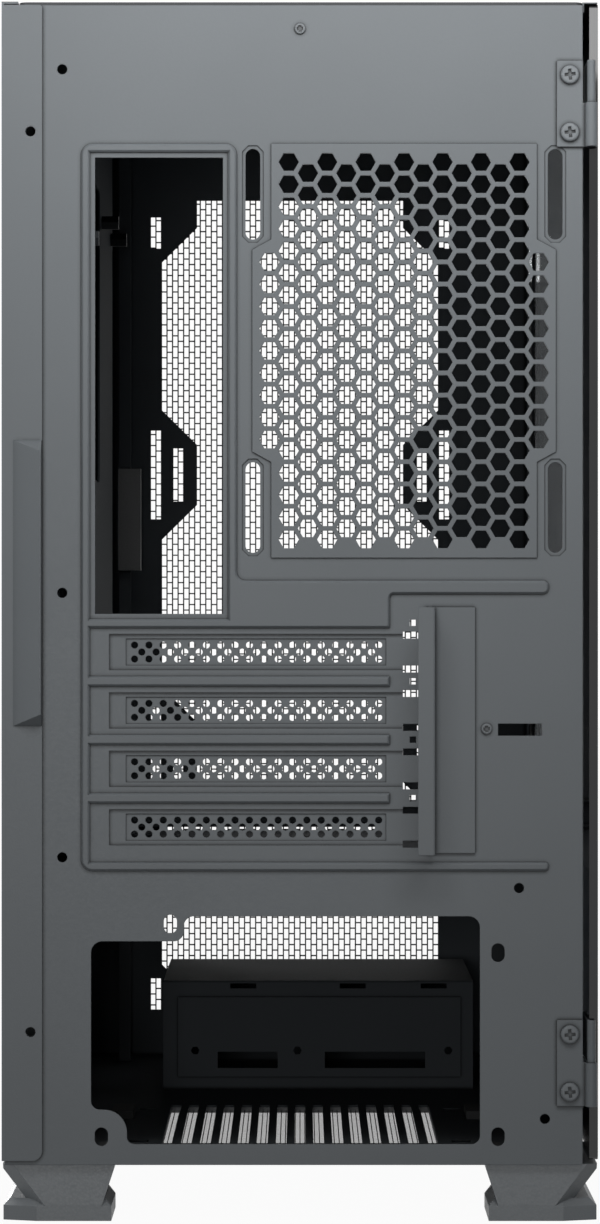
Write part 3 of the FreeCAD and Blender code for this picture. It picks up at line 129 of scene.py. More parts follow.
class CaseFeet(bpy.types.PropertyGroup):
    """Sizes of the moulded feet."""
    base: length_property("Base", "Height of the base", 7.8)
    base_bevel: length_property("Base bevel", "Bevel round the top of the base", 2.4)
    crease: length_property("Crease", "Height at which the neck meets the base", 6.0)
    lip: length_property("Lip", "Height of the upright lip under the floor", 2.0)
    lean: length_property("Lean", "How far the outer side of the neck leans in", 9.2)
    corner: length_property("Corner", "Width of the facet on the outer corner", 5.3)
    corner_depth: length_property("Corner depth", "Depth of that facet", 5.0)
    setback: length_property("Setback", "How far the neck's rear face leans out below its lip", 0.6)
    inner_lean: length_property("Inner lean", "How far the inner side of the neck leans in", 4.0)
    far_lean: length_property("Far lean", "How far the far side of the neck leans in", 6.0)
    inner_gap: length_property("Inner gap", "Neck's inner side to the plain foot's", 1.2)
    far_gap: length_property("Far gap", "Neck's far side to the plain foot's", 3.0)
    base_outer_gap: length_property("Base outer gap", "Base's outer side to the plain foot's", 0.2)
    base_inner_gap: length_property("Base inner gap", "Base's inner side to the plain foot's", 2.0)
    ground_gap: length_property("Ground gap", "Base's underside above the ground", 0.3)
    facet_width: length_property("Facet width", "Width of the facet on the base", 11.8)
    facet_depth: length_property("Facet depth", "Depth of the facet on the base", 3.5)
    straight: length_property("Straight", "Length of the base before it draws in", 33.0)
    draw: length_property("Draw", "How far the base draws in", 5.0)
    overlap: length_property("Overlap", "How far the neck reaches into the base", 1.0)
    edge: length_property("Edge", "Rounding of the edges", 0.3)


class CaseBar(bpy.types.PropertyGroup):
    """Sizes of the bar across the front plate."""
    sheet: length_property("Sheet", "Thickness of the sheet", 0.8)
    set_in: length_property("Set in", "End of the bar to the side of the plate", 12.0)
    depth: length_property("Depth", "Depth of the folded bar", 6.0)
    height: length_property("Height", "Height of the folded bar", 11.4)


class CaseLip(bpy.types.PropertyGroup):
    """Sizes of the lip over the glass door."""
    sheet: length_property("Sheet", "Thickness of the fold", 0.6)
    gap: length_property("Gap", "Lip to the glass below it", 0.1)
    set_in: length_property("Set in", "Lip's edge to the outer face of the glass", 0.2)
    front_gap: length_property("Front gap", "Lip's end to the front edge of the glass", 6.0)
    fold: length_property("Fold", "How far the fold reaches down beside the chassis", 3.0)


class CaseCovers(bpy.types.PropertyGroup):
    """Sizes of the holes in the slot covers."""
    hole: length_property("Hole", "Diameter of one hole", 2.5)
    pitch: length_property("Pitch", "Distance between holes in a row", 5.0)
    row_gap: length_property("Row gap", "Distance between rows", 2.43)


class CaseScrews(bpy.types.PropertyGroup):
    """Sizes of the cross recess screws."""
    recess: length_property("Recess", "Width of one arm of the cross", 1.1)
    recess_depth: length_property("Recess depth", "Depth of the cross", 0.8)
    hinge_spacing: length_property("Hinge spacing", "Distance between the two screws of a hinge", 20.0)
    hinge_leaf: length_property("Hinge leaf", "Thickness of the leaf under a hinge screw", 1.0)
    hinge_shank: length_property("Hinge shank", "Radius of a hinge screw's shank", 1.5)
    thin_shank: length_property("Thin shank", "Radius of the other screws' shanks", 1.2)
    small_head: length_property("Small head", "Radius of a small screw's head", 1.9)


class CaseStage(bpy.types.PropertyGroup):
    """Camera of the photograph."""
    distance: length_property("Distance", "Camera to rear panel", 1410)
    height: length_property("Height", "Camera above the floor", 212.35)
    view_height: length_property("View height", "Height that the picture takes in at the rear panel", 425.74)


# Small tools for pieces and materials

def deselect():
    """Leaves no object selected."""
    bpy.ops.object.select_all(action="DESELECT")


def make_active(item):
    """Makes one object the only selected and active one."""
    deselect()
    item.select_set(True)
    bpy.context.view_layer.objects.active = item


def apply_modifiers(item):
    """Turns an object's modifiers into its mesh."""
    make_active(item)
    for modifier in list(item.modifiers):
        bpy.ops.object.modifier_apply(modifier=modifier.name)


def settle(item, name):
    """Names a piece and puts its place into its mesh."""
    make_active(item)
    bpy.ops.object.transform_apply(location=True, rotation=True, scale=True)
    item.name = name
    item.data.name = name
    return item


def array(item, count, offset):
    """Copies along a fixed step."""
    modifier = item.modifiers.new("Copies", "ARRAY")
    modifier.use_relative_offset = False
    modifier.use_constant_offset = True
    modifier.constant_offset_displace = offset
    modifier.count = count
    modifier.use_merge_vertices = True
    modifier.merge_threshold = TOUCHING


def middle_of(low, high):
    """Middle of a box."""
    return [(first + last) / 2 for first, last in zip(low, high)]


def thicken(item, thickness):
    """Gives a flat sheet its thickness, half to each side."""
    solid = item.modifiers.new("Thickness", "SOLIDIFY")
    solid.thickness = thickness
    solid.offset = 0
    apply_modifiers(item)


def soften(item, width):
    """Small roundings on a moulded piece's edges."""
    soft = item.modifiers.new("Moulded edges", "BEVEL")
    soft.width = width
    soft.segments = 2
    apply_modifiers(item)


def weld(item, distance=TOUCHING):
    """Makes one point of points that lie on each other, so that no walls stay inside a piece."""
    make_active(item)
    bpy.ops.object.mode_set(mode="EDIT")
    bpy.ops.mesh.select_all(action="SELECT")
    bpy.ops.mesh.remove_doubles(threshold=distance)
    bpy.ops.object.mode_set(mode="OBJECT")


def join(items):
    """Makes one object of several."""
    deselect()
    for item in items:
        item.select_set(True)
    bpy.context.view_layer.objects.active = items[0]
    bpy.ops.object.join()
    return bpy.context.active_object


def open_tile(width, height, bar, split_sides=False):
    """Flat frame round one opening, lying on the floor at the origin."""
    deselect()
    bpy.ops.mesh.primitive_plane_add(size=1)
    tile = bpy.context.active_object
    tile.scale = (width, height, 1)
    bpy.ops.object.transform_apply(scale=True)
    if split_sides:
        bpy.ops.object.mode_set(mode="EDIT")
        bpy.ops.mesh.select_mode(type="EDGE")
        bpy.ops.mesh.select_all(action="DESELECT")
        bpy.ops.object.mode_set(mode="OBJECT")
        for edge in tile.data.edges:
            first, last = [tile.data.vertices[number].co for number in edge.vertices]
            edge.select = abs(first.x - last.x) < 1e-6
        bpy.ops.object.mode_set(mode="EDIT")
        bpy.ops.mesh.subdivide(number_cuts=1)
        bpy.ops.object.mode_set(mode="OBJECT")
    bpy.ops.object.mode_set(mode="EDIT")
    bpy.ops.mesh.select_mode(type="FACE")
    bpy.ops.mesh.select_all(action="SELECT")
    bpy.ops.mesh.inset(thickness=bar)
    bpy.ops.mesh.delete(type="FACE")
    if split_sides:
        # The opening's own sides stay straight, with no point at their middle
        bpy.ops.mesh.select_mode(type="VERT")
        bpy.ops.mesh.select_all(action="DESELECT")
        bpy.ops.object.mode_set(mode="OBJECT")
        for vertex in tile.data.vertices:
            vertex.select = abs(vertex.co.y) < 1e-6 and abs(vertex.co.x) < (width - bar) / 2
        bpy.ops.object.mode_set(mode="EDIT")
        bpy.ops.mesh.dissolve_verts()
    bpy.ops.object.mode_set(mode="OBJECT")
    return tile


def trimmed_block(low, high, planes=()):
    """Closed block cut back by planes, each with a point on it and its outward direction."""
    deselect()
    bpy.ops.mesh.primitive_cube_add(size=1)
    block = bpy.context.active_object
    block.location = middle_of(low, high)
    block.scale = [last - first for first, last in zip(low, high)]
    bpy.ops.object.transform_apply(location=True, rotation=True, scale=True)
    for point, outward in planes:
        unit = [part / math.hypot(*outward) for part in outward]
        bpy.ops.object.mode_set(mode="EDIT")
        bpy.ops.mesh.select_all(action="SELECT")
        bpy.ops.mesh.bisect(plane_co=point, plane_no=unit, use_fill=True, clear_outer=True,
                            threshold=1e-6)
        bpy.ops.object.mode_set(mode="OBJECT")
    return block


def select_faces(item, wanted):
    """Selects the faces that a test picks, and stays in edit mode."""
    make_active(item)
    bpy.ops.object.mode_set(mode="EDIT")
    bpy.ops.mesh.select_mode(type="FACE")
    bpy.ops.mesh.select_all(action="DESELECT")
    bpy.ops.object.mode_set(mode="OBJECT")
    for face in item.data.polygons:
        face.select = wanted(face)
    bpy.ops.object.mode_set(mode="EDIT")


def combine(item, other, operation):
    """Boolean of two closed pieces, which uses up the second."""
    joined = item.modifiers.new("Combine", "BOOLEAN")
    joined.operation = operation
    joined.solver = "EXACT"
    joined.object = other
    apply_modifiers(item)
    bpy.data.objects.remove(other, do_unlink=True)


def cross_screw(settings, head, height, shank, reach):
    """Pan head screw with a cross recess, its seat at the origin and its head upwards."""
    rounding, arm_length, deepest = height * 0.5, head * 0.58, height * 0.7
    slant = 0.1
    deselect()
    bpy.ops.mesh.primitive_cylinder_add(vertices=24, radius=head / 2, depth=height,
                                        location=(0, 0, height / 2))
    screw = bpy.context.active_object
    bpy.ops.object.transform_apply(location=True, rotation=True, scale=True)
    select_faces(screw, lambda face: face.normal.z > 0.9)
    bpy.ops.mesh.bevel(offset=rounding, segments=3, affect="EDGES")
    bpy.ops.object.mode_set(mode="OBJECT")
    select_faces(screw, lambda face: face.normal.z < -0.9)
    bpy.ops.mesh.inset(thickness=head / 2 - shank)
    bpy.ops.mesh.extrude_region_move(TRANSFORM_OT_translate={"value": (0, 0, -reach)})
    bpy.ops.object.mode_set(mode="OBJECT")
    for turn in (slant, slant + math.pi / 2):
        deselect()
        bpy.ops.mesh.primitive_cube_add(size=1, location=(0, 0, height), rotation=(0, 0, turn))
        arm = bpy.context.active_object
        arm.scale = (arm_length, settings.recess, 2 * min(settings.recess_depth, deepest))
        bpy.ops.object.transform_apply(location=True, rotation=True, scale=True)
        combine(screw, arm, "DIFFERENCE")
    return screw


def set_out(pattern, spots, rotation, name):
    """One piece from copies of a pattern, turned alike and set at each spot."""
    copies = []
    for spot in spots:
        copy = bpy.data.objects.new(name, pattern.data.copy())
        bpy.context.scene.collection.objects.link(copy)
        copy.location = spot
        copy.rotation_euler = rotation
        copies.append(copy)
    bpy.data.objects.remove(pattern, do_unlink=True)
    return settle(join(copies), name)


def add_node(tree, kind, inputs=None, **settings):
    """One node with its settings, and its inputs as values or as links from other sockets."""
    made = tree.nodes.new(kind)
    for key, value in settings.items():
        setattr(made, key, value)
    for key, value in (inputs or {}).items():
        if isinstance(value, bpy.types.NodeSocket):
            tree.links.new(value, made.inputs[key])
        else:
            made.inputs[key].default_value = value
    return made


def new_material(name):
    """Material with an empty tree, its output and the piece's own coordinates."""
    material = bpy.data.materials.new(name)
    material.use_nodes = True
    tree = material.node_tree
    tree.nodes.clear()
    output = add_node(tree, "ShaderNodeOutputMaterial")
    place = add_node(tree, "ShaderNodeTexCoord").outputs["Object"]
    return material, tree, output, place


def shade(colour, factor):
    """Colour made lighter or darker, with full alpha."""
    return tuple(min(1, channel * factor) for channel in colour) + (1,)


def background_rays(tree):
    """One for the rays that show the background: straight, by gloss and through glass."""
    paths = add_node(tree, "ShaderNodeLightPath")
    mirrored = add_node(tree, "ShaderNodeMath", {0: paths.outputs["Is Glossy Ray"],
                                                 1: paths.outputs["Is Transmission Ray"]},
                        operation="MAXIMUM")
    shown = add_node(tree, "ShaderNodeMath", {0: paths.outputs["Is Camera Ray"], 1: mirrored.outputs[0]},
                     operation="MAXIMUM")
    return shown.outputs[0]


# Finishes

def powder_coat(name, colour, roughness, sheen):
    """Powder coat on sheet steel: cured droplets leave a fine orange peel and a broad satin sheen.

    The coat rounds each edge a little, so edges catch the light, and inner corners are painted darker as
    shade.
    """
    material, tree, output, place = new_material(name)
    # Droplets are about 0.3 mm wide, drawn at 0.8 mm so that they show in the picture
    peel = add_node(tree, "ShaderNodeTexNoise", {"Vector": place, "Scale": 1 / 0.0008, "Detail": 3,
                                                 "Roughness": 0.55})
    cloud = add_node(tree, "ShaderNodeTexNoise", {"Vector": place, "Scale": 1 / 0.06, "Detail": 2})
    speck = add_node(tree, "ShaderNodeMapRange", {"Value": peel.outputs["Fac"], "From Min": 0.3,
                                                  "From Max": 0.7, "To Min": 0.42, "To Max": 0.58})
    blend = add_node(tree, "ShaderNodeMath", {0: cloud.outputs["Fac"], 1: speck.outputs["Result"], 2: 0.25},
                     operation="MULTIPLY_ADD")
    tone = add_node(tree, "ShaderNodeMix", {"Factor": blend.outputs[0], "A": shade(colour, 0.86),
                                            "B": shade(colour, 1.14)}, data_type="RGBA")
    # Painted shade in inner corners: steps in the sheet are about half a millimetre high, so corners are
    # read over 1.6 mm and darkened there
    corner = add_node(tree, "ShaderNodeAmbientOcclusion", {"Distance": 0.0016}, samples=8)
    unshaded_mask = add_node(tree, "ShaderNodeMapRange", {"Value": corner.outputs["AO"], "From Min": 0.6,
                                                      "From Max": 0.95})
    # Painted shade: corners hidden within that distance are darkened towards a fifth of the coat's colour
    painted_corner_shade = add_node(tree, "ShaderNodeMix", {"Factor": unshaded_mask.outputs["Result"], "A": shade(colour, 0.2),
                                             "B": tone.outputs[2]}, data_type="RGBA")
    gloss = add_node(tree, "ShaderNodeMapRange", {"Value": peel.outputs["Fac"], "From Min": 0.3,
                                                  "From Max": 0.7, "To Min": roughness - 0.05,
                                                  "To Max": roughness + 0.05})
    edge = add_node(tree, "ShaderNodeBevel", {"Radius": 0.0004}, samples=4)
    bump = add_node(tree, "ShaderNodeBump", {"Height": peel.outputs["Fac"], "Strength": 0.12,
                                             "Distance": 0.0002, "Normal": edge.outputs["Normal"]})
    surface = add_node(tree, "ShaderNodeBsdfPrincipled", {
        "Base Color": painted_corner_shade.outputs[2], "Roughness": gloss.outputs["Result"],
        "Normal": bump.outputs["Normal"], "IOR": 1.5, "Specular IOR Level": sheen})
    tree.links.new(surface.outputs[0], output.inputs["Surface"])
    return material


def moulded_plastic(name, colour, grain, roughness):
    """Injection moulded ABS from a spark-eroded mould: a fine even grain that breaks up reflections."""
    material, tree, output, place = new_material(name)
    pits = add_node(tree, "ShaderNodeTexVoronoi", {"Vector": place, "Scale": 1 / grain})
    broad = add_node(tree, "ShaderNodeTexNoise", {"Vector": place, "Scale": 1 / 0.03, "Detail": 2})
    tone = add_node(tree, "ShaderNodeMix", {"Factor": broad.outputs["Fac"], "A": shade(colour, 0.9),
                                            "B": shade(colour, 1.1)}, data_type="RGBA")
    gloss = add_node(tree, "ShaderNodeMapRange", {"Value": pits.outputs["Distance"], "To Min": roughness,
                                                  "To Max": roughness + 0.12})
    bump = add_node(tree, "ShaderNodeBump", {"Height": pits.outputs["Distance"], "Strength": 0.15,
                                             "Distance": 0.00015})
    surface = add_node(tree, "ShaderNodeBsdfPrincipled", {
        "Base Color": tone.outputs[2], "Roughness": gloss.outputs["Result"],
        "Normal": bump.outputs["Normal"], "IOR": 1.53})
    tree.links.new(surface.outputs[0], output.inputs["Surface"])
    return material


def plated_metal(name, colour, roughness, line):
    """Plated or turned metal: fine turning lines stretch the highlight across them."""
    material, tree, output, place = new_material(name)
    stretched = add_node(tree, "ShaderNodeMapping", {"Vector": place, "Scale": (1, 1, 12)})
    lines = add_node(tree, "ShaderNodeTexNoise", {"Vector": stretched.outputs["Vector"], "Scale": 1 / line,
                                                  "Detail": 3})
    tone = add_node(tree, "ShaderNodeMix", {"Factor": lines.outputs["Fac"], "A": shade(colour, 0.8),
                                            "B": shade(colour, 1.15)}, data_type="RGBA")
    gloss = add_node(tree, "ShaderNodeMapRange", {"Value": lines.outputs["Fac"], "To Min": roughness - 0.08,
                                                  "To Max": roughness + 0.1})
    surface = add_node(tree, "ShaderNodeBsdfPrincipled", {
        "Base Color": tone.outputs[2], "Roughness": gloss.outputs["Result"], "Metallic": 1.0})
    tree.links.new(surface.outputs[0], output.inputs["Surface"])
    return material


def tinted_glass(name, colour, enamel, band, hinge_band):
    """Tempered float glass with a grey tint: clear gloss outside, dim view through.

    A black enamel border is fired on along its edges, wider beside the hinges.
    """
    material, tree, output, place = new_material(name)
    low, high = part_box("glass_door")
    split = add_node(tree, "ShaderNodeSeparateXYZ", {"Vector": place})
    across, up = split.outputs["Y"], split.outputs["Z"]
    border = 0.0
    for along, limit, side in ((across, low[1] + hinge_band, "LESS_THAN"),
                               (across, high[1] - band, "GREATER_THAN"),
                               (up, low[2] + band, "LESS_THAN"),
                               (up, high[2] - band, "GREATER_THAN")):
        strip = add_node(tree, "ShaderNodeMath", {0: along, 1: limit}, operation=side).outputs[0]
        border = add_node(tree, "ShaderNodeMath", {0: border, 1: strip}, operation="MAXIMUM").outputs[0]
    ripple = add_node(tree, "ShaderNodeTexNoise", {"Vector": place, "Scale": 1 / 0.09, "Detail": 1})
    tone = add_node(tree, "ShaderNodeMix", {"Factor": ripple.outputs["Fac"], "A": shade(colour, 0.96),
                                            "B": shade(colour, 1.04)}, data_type="RGBA")
    printed = add_node(tree, "ShaderNodeMix", {"Factor": border, "A": tone.outputs[2],
                                               "B": shade(enamel, 1)}, data_type="RGBA")
    clear = add_node(tree, "ShaderNodeMath", {0: 1.0, 1: border}, operation="SUBTRACT")
    surface = add_node(tree, "ShaderNodeBsdfPrincipled", {
        "Base Color": printed.outputs[2], "Roughness": 0.06, "IOR": 1.52,
        "Transmission Weight": clear.outputs[0]})
    tree.links.new(surface.outputs[0], output.inputs["Surface"])
    return material


def soft_rubber(name, colour):
    """Cut rubber: dull, with a faint dusty grain."""
    material, tree, output, place = new_material(name)
    grain = add_node(tree, "ShaderNodeTexNoise", {"Vector": place, "Scale": 1 / 0.0012, "Detail": 4})
    tone = add_node(tree, "ShaderNodeMix", {"Factor": grain.outputs["Fac"], "A": shade(colour, 0.8),
                                            "B": shade(colour, 1.3)}, data_type="RGBA")
    bump = add_node(tree, "ShaderNodeBump", {"Height": grain.outputs["Fac"], "Strength": 0.3,
                                             "Distance": 0.0002})
    surface = add_node(tree, "ShaderNodeBsdfPrincipled", {
        "Base Color": tone.outputs[2], "Roughness": 0.82, "Normal": bump.outputs["Normal"]})
    tree.links.new(surface.outputs[0], output.inputs["Surface"])
    return material


def filter_cloth(name, colour):
    """Woven nylon dust cloth: crossing threads with dark gaps between them."""
    material, tree, output, place = new_material(name)
    # Threads are 0.5 mm apart, drawn at 1.2 mm so that they show
    split = add_node(tree, "ShaderNodeSeparateXYZ", {"Vector": place})
    threads = []
    for axis in ("X", "Y"):
        turn = add_node(tree, "ShaderNodeMath", {0: split.outputs[axis], 1: 2 * math.pi / 0.0012},
                        operation="MULTIPLY")
        wave = add_node(tree, "ShaderNodeMath", {0: turn.outputs[0]}, operation="SINE")
        thread = add_node(tree, "ShaderNodeMath", {0: wave.outputs[0]}, operation="ABSOLUTE")
        threads.append(thread.outputs[0])
    weave = add_node(tree, "ShaderNodeMath", {0: threads[0], 1: threads[1]}, operation="MINIMUM")
    tone = add_node(tree, "ShaderNodeMix", {"Factor": weave.outputs[0], "A": shade(colour, 1.6),
                                            "B": shade(colour, 0.5)}, data_type="RGBA")
    bump = add_node(tree, "ShaderNodeBump", {"Height": weave.outputs[0], "Strength": 0.5,
                                             "Distance": 0.0003}, invert=True)
    surface = add_node(tree, "ShaderNodeBsdfPrincipled", {
        "Base Color": tone.outputs[2], "Roughness": 0.75, "Normal": bump.outputs["Normal"]})
    tree.links.new(surface.outputs[0], output.inputs["Surface"])
    return material


# Tools that make the pieces, the finishes and the stage

class CASE_OT_front_mesh(bpy.types.Operator):
    """Fine front mesh in place of the coarse one"""
    bl_idname = "case.front_mesh"
    bl_label = "Front mesh"

    def execute(self, context):
        size = context.scene.case_mesh
        low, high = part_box("front_mesh")
        middle = middle_of(low, high)
        columns = int((high[0] - low[0] - size.rim) / size.column_pitch / 2) * 2
        rows = int((high[2] - low[2] - size.rim) / size.row_pitch)
        tiles = []
        for shift in (0, 1):
            tile = open_tile(size.column_pitch, size.row_pitch, size.bar / 2, split_sides=True)
            tile.location = (shift * size.column_pitch, shift * size.row_pitch / 2, 0)
            bpy.ops.object.transform_apply(location=True)
            tiles.append(tile)
        sheet = join(tiles)
        array(sheet, columns // 2, (2 * size.column_pitch, 0, 0))
        array(sheet, rows, (0, size.row_pitch, 0))
        apply_modifiers(sheet)
        weld(sheet)
        thicken(sheet, size.thickness)
        sheet.rotation_euler = (math.pi / 2, 0, 0)
        sheet.location = (middle[0] - (columns - 1) / 2 * size.column_pitch, middle[1],
                          middle[2] - (rows - 0.5) / 2 * size.row_pitch)
        settle(sheet, "fine_front_mesh")

        rim = open_tile(high[0] - low[0], high[2] - low[2], size.rim)
        thicken(rim, high[1] - low[1])
        rim.rotation_euler = (math.pi / 2, 0, 0)
        rim.location = middle
        settle(rim, "front_mesh_rim")
        for piece in (sheet, rim):
            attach(piece, "chassis")
        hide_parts("front_mesh")
        return {"FINISHED"}


class CASE_OT_floor_filter(bpy.types.Operator):
    """Floor filter with its open cloth"""
    bl_idname = "case.floor_filter"
    bl_label = "Floor filter"

    def execute(self, context):
        size = context.scene.case_filter
        low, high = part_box("floor_filter")
        middle = middle_of(low, high)
        width, length = high[0] - low[0], high[1] - low[1]
        rim = open_tile(width, length, size.border)
        thicken(rim, high[2] - low[2])
        soften(rim, size.edge)
        rim.location = middle
        settle(rim, "floor_filter_frame")

        columns = int((width - 2 * size.border) / size.pitch) + 1
        rows = int((length - 2 * size.border) / size.pitch) + 1
        cloth = open_tile(size.pitch, size.pitch, size.thread / 2)
        array(cloth, columns, (size.pitch, 0, 0))
        array(cloth, rows, (0, size.pitch, 0))
        thicken(cloth, size.thickness)
        cloth.location = (middle[0] - (columns - 1) / 2 * size.pitch,
                          middle[1] - (rows - 1) / 2 * size.pitch, low[2] + size.cloth_level)
        settle(cloth, "floor_filter_cloth")
        for piece in (rim, cloth):
            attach(piece, "filter_tray")
        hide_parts("floor_filter")
        return {"FINISHED"}


class CASE_OT_feet(bpy.types.Operator):
    """Moulded feet with tapered necks and bevelled bases"""
    bl_idname = "case.feet"
    bl_label = "Feet"

    def execute(self, context):
        size = context.scene.case_feet
        low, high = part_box("foot_rear_left")
        outer, inner = low[0], high[0]
        near, far = low[1] - size.setback, high[1]

        # The base has a shallow facet outside and draws in at its far end
        side = outer + size.base_outer_gap
        edge = inner - size.base_inner_gap
        base = trimmed_block((side, near, size.ground_gap), (edge, far, size.base), (
            ((side + size.facet_width, near, 0), (-size.facet_depth, -size.facet_width, 0)),
            ((edge, near + size.straight, 0), (far - near - size.straight, size.draw, 0))))
        select_faces(base, lambda face: face.normal.z > 0.9)
        bpy.ops.mesh.bevel(offset=size.base_bevel, segments=1, affect="EDGES")
        bpy.ops.object.mode_set(mode="OBJECT")

        # The neck narrows below its lip, with a facet on the outer corner
        shoulder = high[2] - size.lip
        drop = shoulder - size.crease
        back = far - size.far_gap
        edge = inner - size.inner_gap
        depth = size.corner_depth - size.setback
        turn = (-drop * depth, -drop * size.corner, size.corner * size.setback - depth * size.lean)
        neck = trimmed_block((outer, near, size.crease - size.overlap), (edge, back, high[2]), (
            ((outer, near, shoulder), (-drop, 0, -size.lean)),
            ((edge, near, shoulder), (drop, 0, -size.inner_lean)),
            ((outer, near, size.crease), (0, -drop, size.setback)),
            ((outer, back, shoulder), (0, drop, -size.far_lean)),
            ((outer, near + size.corner_depth, shoulder), turn)))
        combine(base, neck, "UNION")
        soften(base, size.edge)

        middle = low[1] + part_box("foot_front_left")[1][1]
        for end, across, along in (("rear_left", 1, 1), ("rear_right", -1, 1),
                                   ("front_left", 1, -1), ("front_right", -1, -1)):
            foot = bpy.data.objects.new("foot", base.data.copy())
            context.scene.collection.objects.link(foot)
            foot.scale = (across, along, 1)
            foot.location = (0, 0 if along > 0 else middle, 0)
            settle(foot, f"moulded_foot_{end}")
            bpy.ops.object.mode_set(mode="EDIT")
            bpy.ops.mesh.select_all(action="SELECT")
            bpy.ops.mesh.normals_make_consistent(inside=False)
            bpy.ops.object.mode_set(mode="OBJECT")
            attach(foot, "chassis")
            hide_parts(f"foot_{end}")
        bpy.data.objects.remove(base, do_unlink=True)
        return {"FINISHED"}


class CASE_OT_front_bar(bpy.types.Operator):
    """Folded bar across the front plate, just above the shroud"""
    bl_idname = "case.front_bar"
    bl_label = "Front bar"

    def execute(self, context):
        size = context.scene.case_bar
        low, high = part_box("front_plate")
        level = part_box("supply_shroud")[1][2]
        face = high[1] - size.sheet
        bar = trimmed_block((low[0] + size.set_in, face - size.depth, level),
                            (high[0] - size.set_in, face, level + size.height))
        select_faces(bar, lambda side: side.normal.y < -0.9)
        bpy.ops.mesh.inset(thickness=size.sheet)
        hollow = (0, size.depth - size.sheet, 0)
        bpy.ops.mesh.extrude_region_move(TRANSFORM_OT_translate={"value": hollow})
        bpy.ops.object.mode_set(mode="OBJECT")
        settle(bar, "front_plate_bar")
        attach(bar, "chassis")
        return {"FINISHED"}


class CASE_OT_top_lip(bpy.types.Operator):
    """Folded lip of the top sheet that covers the gap above the glass door"""
    bl_idname = "case.top_lip"
    bl_label = "Top lip"

    def execute(self, context):
        size = context.scene.case_lip
        low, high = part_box("glass_door")
        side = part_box("rear_panel")[1][0]
        end, crest = high[1] - size.front_gap, CAD_BOX[1][2]
        leaf = trimmed_block((side, low[1], high[2] + size.gap), (high[0] - size.set_in, end, crest))
        fold = trimmed_block((side, low[1], high[2] - size.fold), (side + size.sheet, end, crest))
        combine(leaf, fold, "UNION")
        settle(leaf, "top_door_lip")
        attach(leaf, "chassis")
        return {"FINISHED"}


class CASE_OT_screws(bpy.types.Operator):
    """Screws with rounded heads and cross recesses"""
    bl_idname = "case.screws"
    bl_label = "Screws"

    def execute(self, context):
        settings = context.scene.case_screws
        backwards = (math.pi / 2, 0, 0)
        sideways = (0, math.pi / 2, 0)

        low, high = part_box("hinge_screws")
        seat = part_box("upper_case_leaf")[1][1] - settings.hinge_leaf
        across = (low[0] + high[0]) / 2
        spots = []
        for leaf in ("upper_case_leaf", "lower_case_leaf"):
            bottom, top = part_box(leaf)
            for step in (-0.5, 0.5):
                spots.append((across, seat, (bottom[2] + top[2]) / 2 + step * settings.hinge_spacing))
        pattern = cross_screw(settings, high[0] - low[0], seat - low[1], settings.hinge_shank,
                              high[1] - seat)
        hinge = set_out(pattern, spots, backwards, "hinge_cross_screws")

        low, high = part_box("small_screws")
        radius = settings.small_head
        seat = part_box("upper_case_leaf")[1][1]
        spots = [(low[0] + radius, seat, high[2] - radius), (high[0] - radius, seat, low[2] + radius)]
        pattern = cross_screw(settings, 2 * radius, seat - low[1], settings.thin_shank, high[1] - seat)
        small = set_out(pattern, spots, backwards, "small_cross_screws")

        low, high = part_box("slot_cover_screws")
        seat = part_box("slot_cover_1")[1][0]
        depth = (low[1] + high[1]) / 2
        spots = []
        for number in range(1, 5):
            bottom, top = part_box(f"slot_cover_{number}")
            spots.append((seat, depth, (bottom[2] + top[2]) / 2))
        pattern = cross_screw(settings, high[1] - low[1], high[0] - seat, settings.thin_shank,
                              seat - low[0])
        slot = set_out(pattern, spots, sideways, "slot_cross_screws")
        for piece, node in ((hinge, "hinge_screws"), (small, "small_screws"), (slot, "slot_cover_screws")):
            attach(piece, "chassis")
            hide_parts(node)
        return {"FINISHED"}


class CASE_OT_slot_covers(bpy.types.Operator):
    """Slot covers with their rows of punched holes"""
    bl_idname = "case.slot_covers"
    bl_label = "Slot covers"

    def execute(self, context):
        size = context.scene.case_covers
        # From the cover's end to the middle of its rows, and the length of the tool that cuts a hole
        rows_middle, punch_length = 0.0543, 0.004
        for number in range(1, 5):
            name = f"slot_cover_{number}"
            low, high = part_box(name)
            level = (low[2] + high[2]) / 2
            middle = low[0] + rows_middle
            punches = []
            for row, count in ((-1, 18), (0, 17), (1, 18)):
                deselect()
                start = (middle - (count - 1) / 2 * size.pitch, high[1], level + row * size.row_gap)
                bpy.ops.mesh.primitive_cylinder_add(vertices=10, radius=size.hole / 2, depth=punch_length,
                                                    location=start, rotation=(math.pi / 2, 0, 0))
                punch = bpy.context.active_object
                bpy.ops.object.transform_apply(location=True, rotation=True, scale=True)
                array(punch, count, (size.pitch, 0, 0))
                apply_modifiers(punch)
                punches.append(punch)
            punch = join(punches)
            cover = bpy.data.objects.new(f"punched_cover_{number}", frame["nodes"][name].data.copy())
            context.scene.collection.objects.link(cover)
            weld(cover, TOUCHING / 2)
            combine(cover, punch, "DIFFERENCE")
            settle(cover, f"punched_cover_{number}")
            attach(cover, "chassis")
            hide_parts(name)
        return {"FINISHED"}


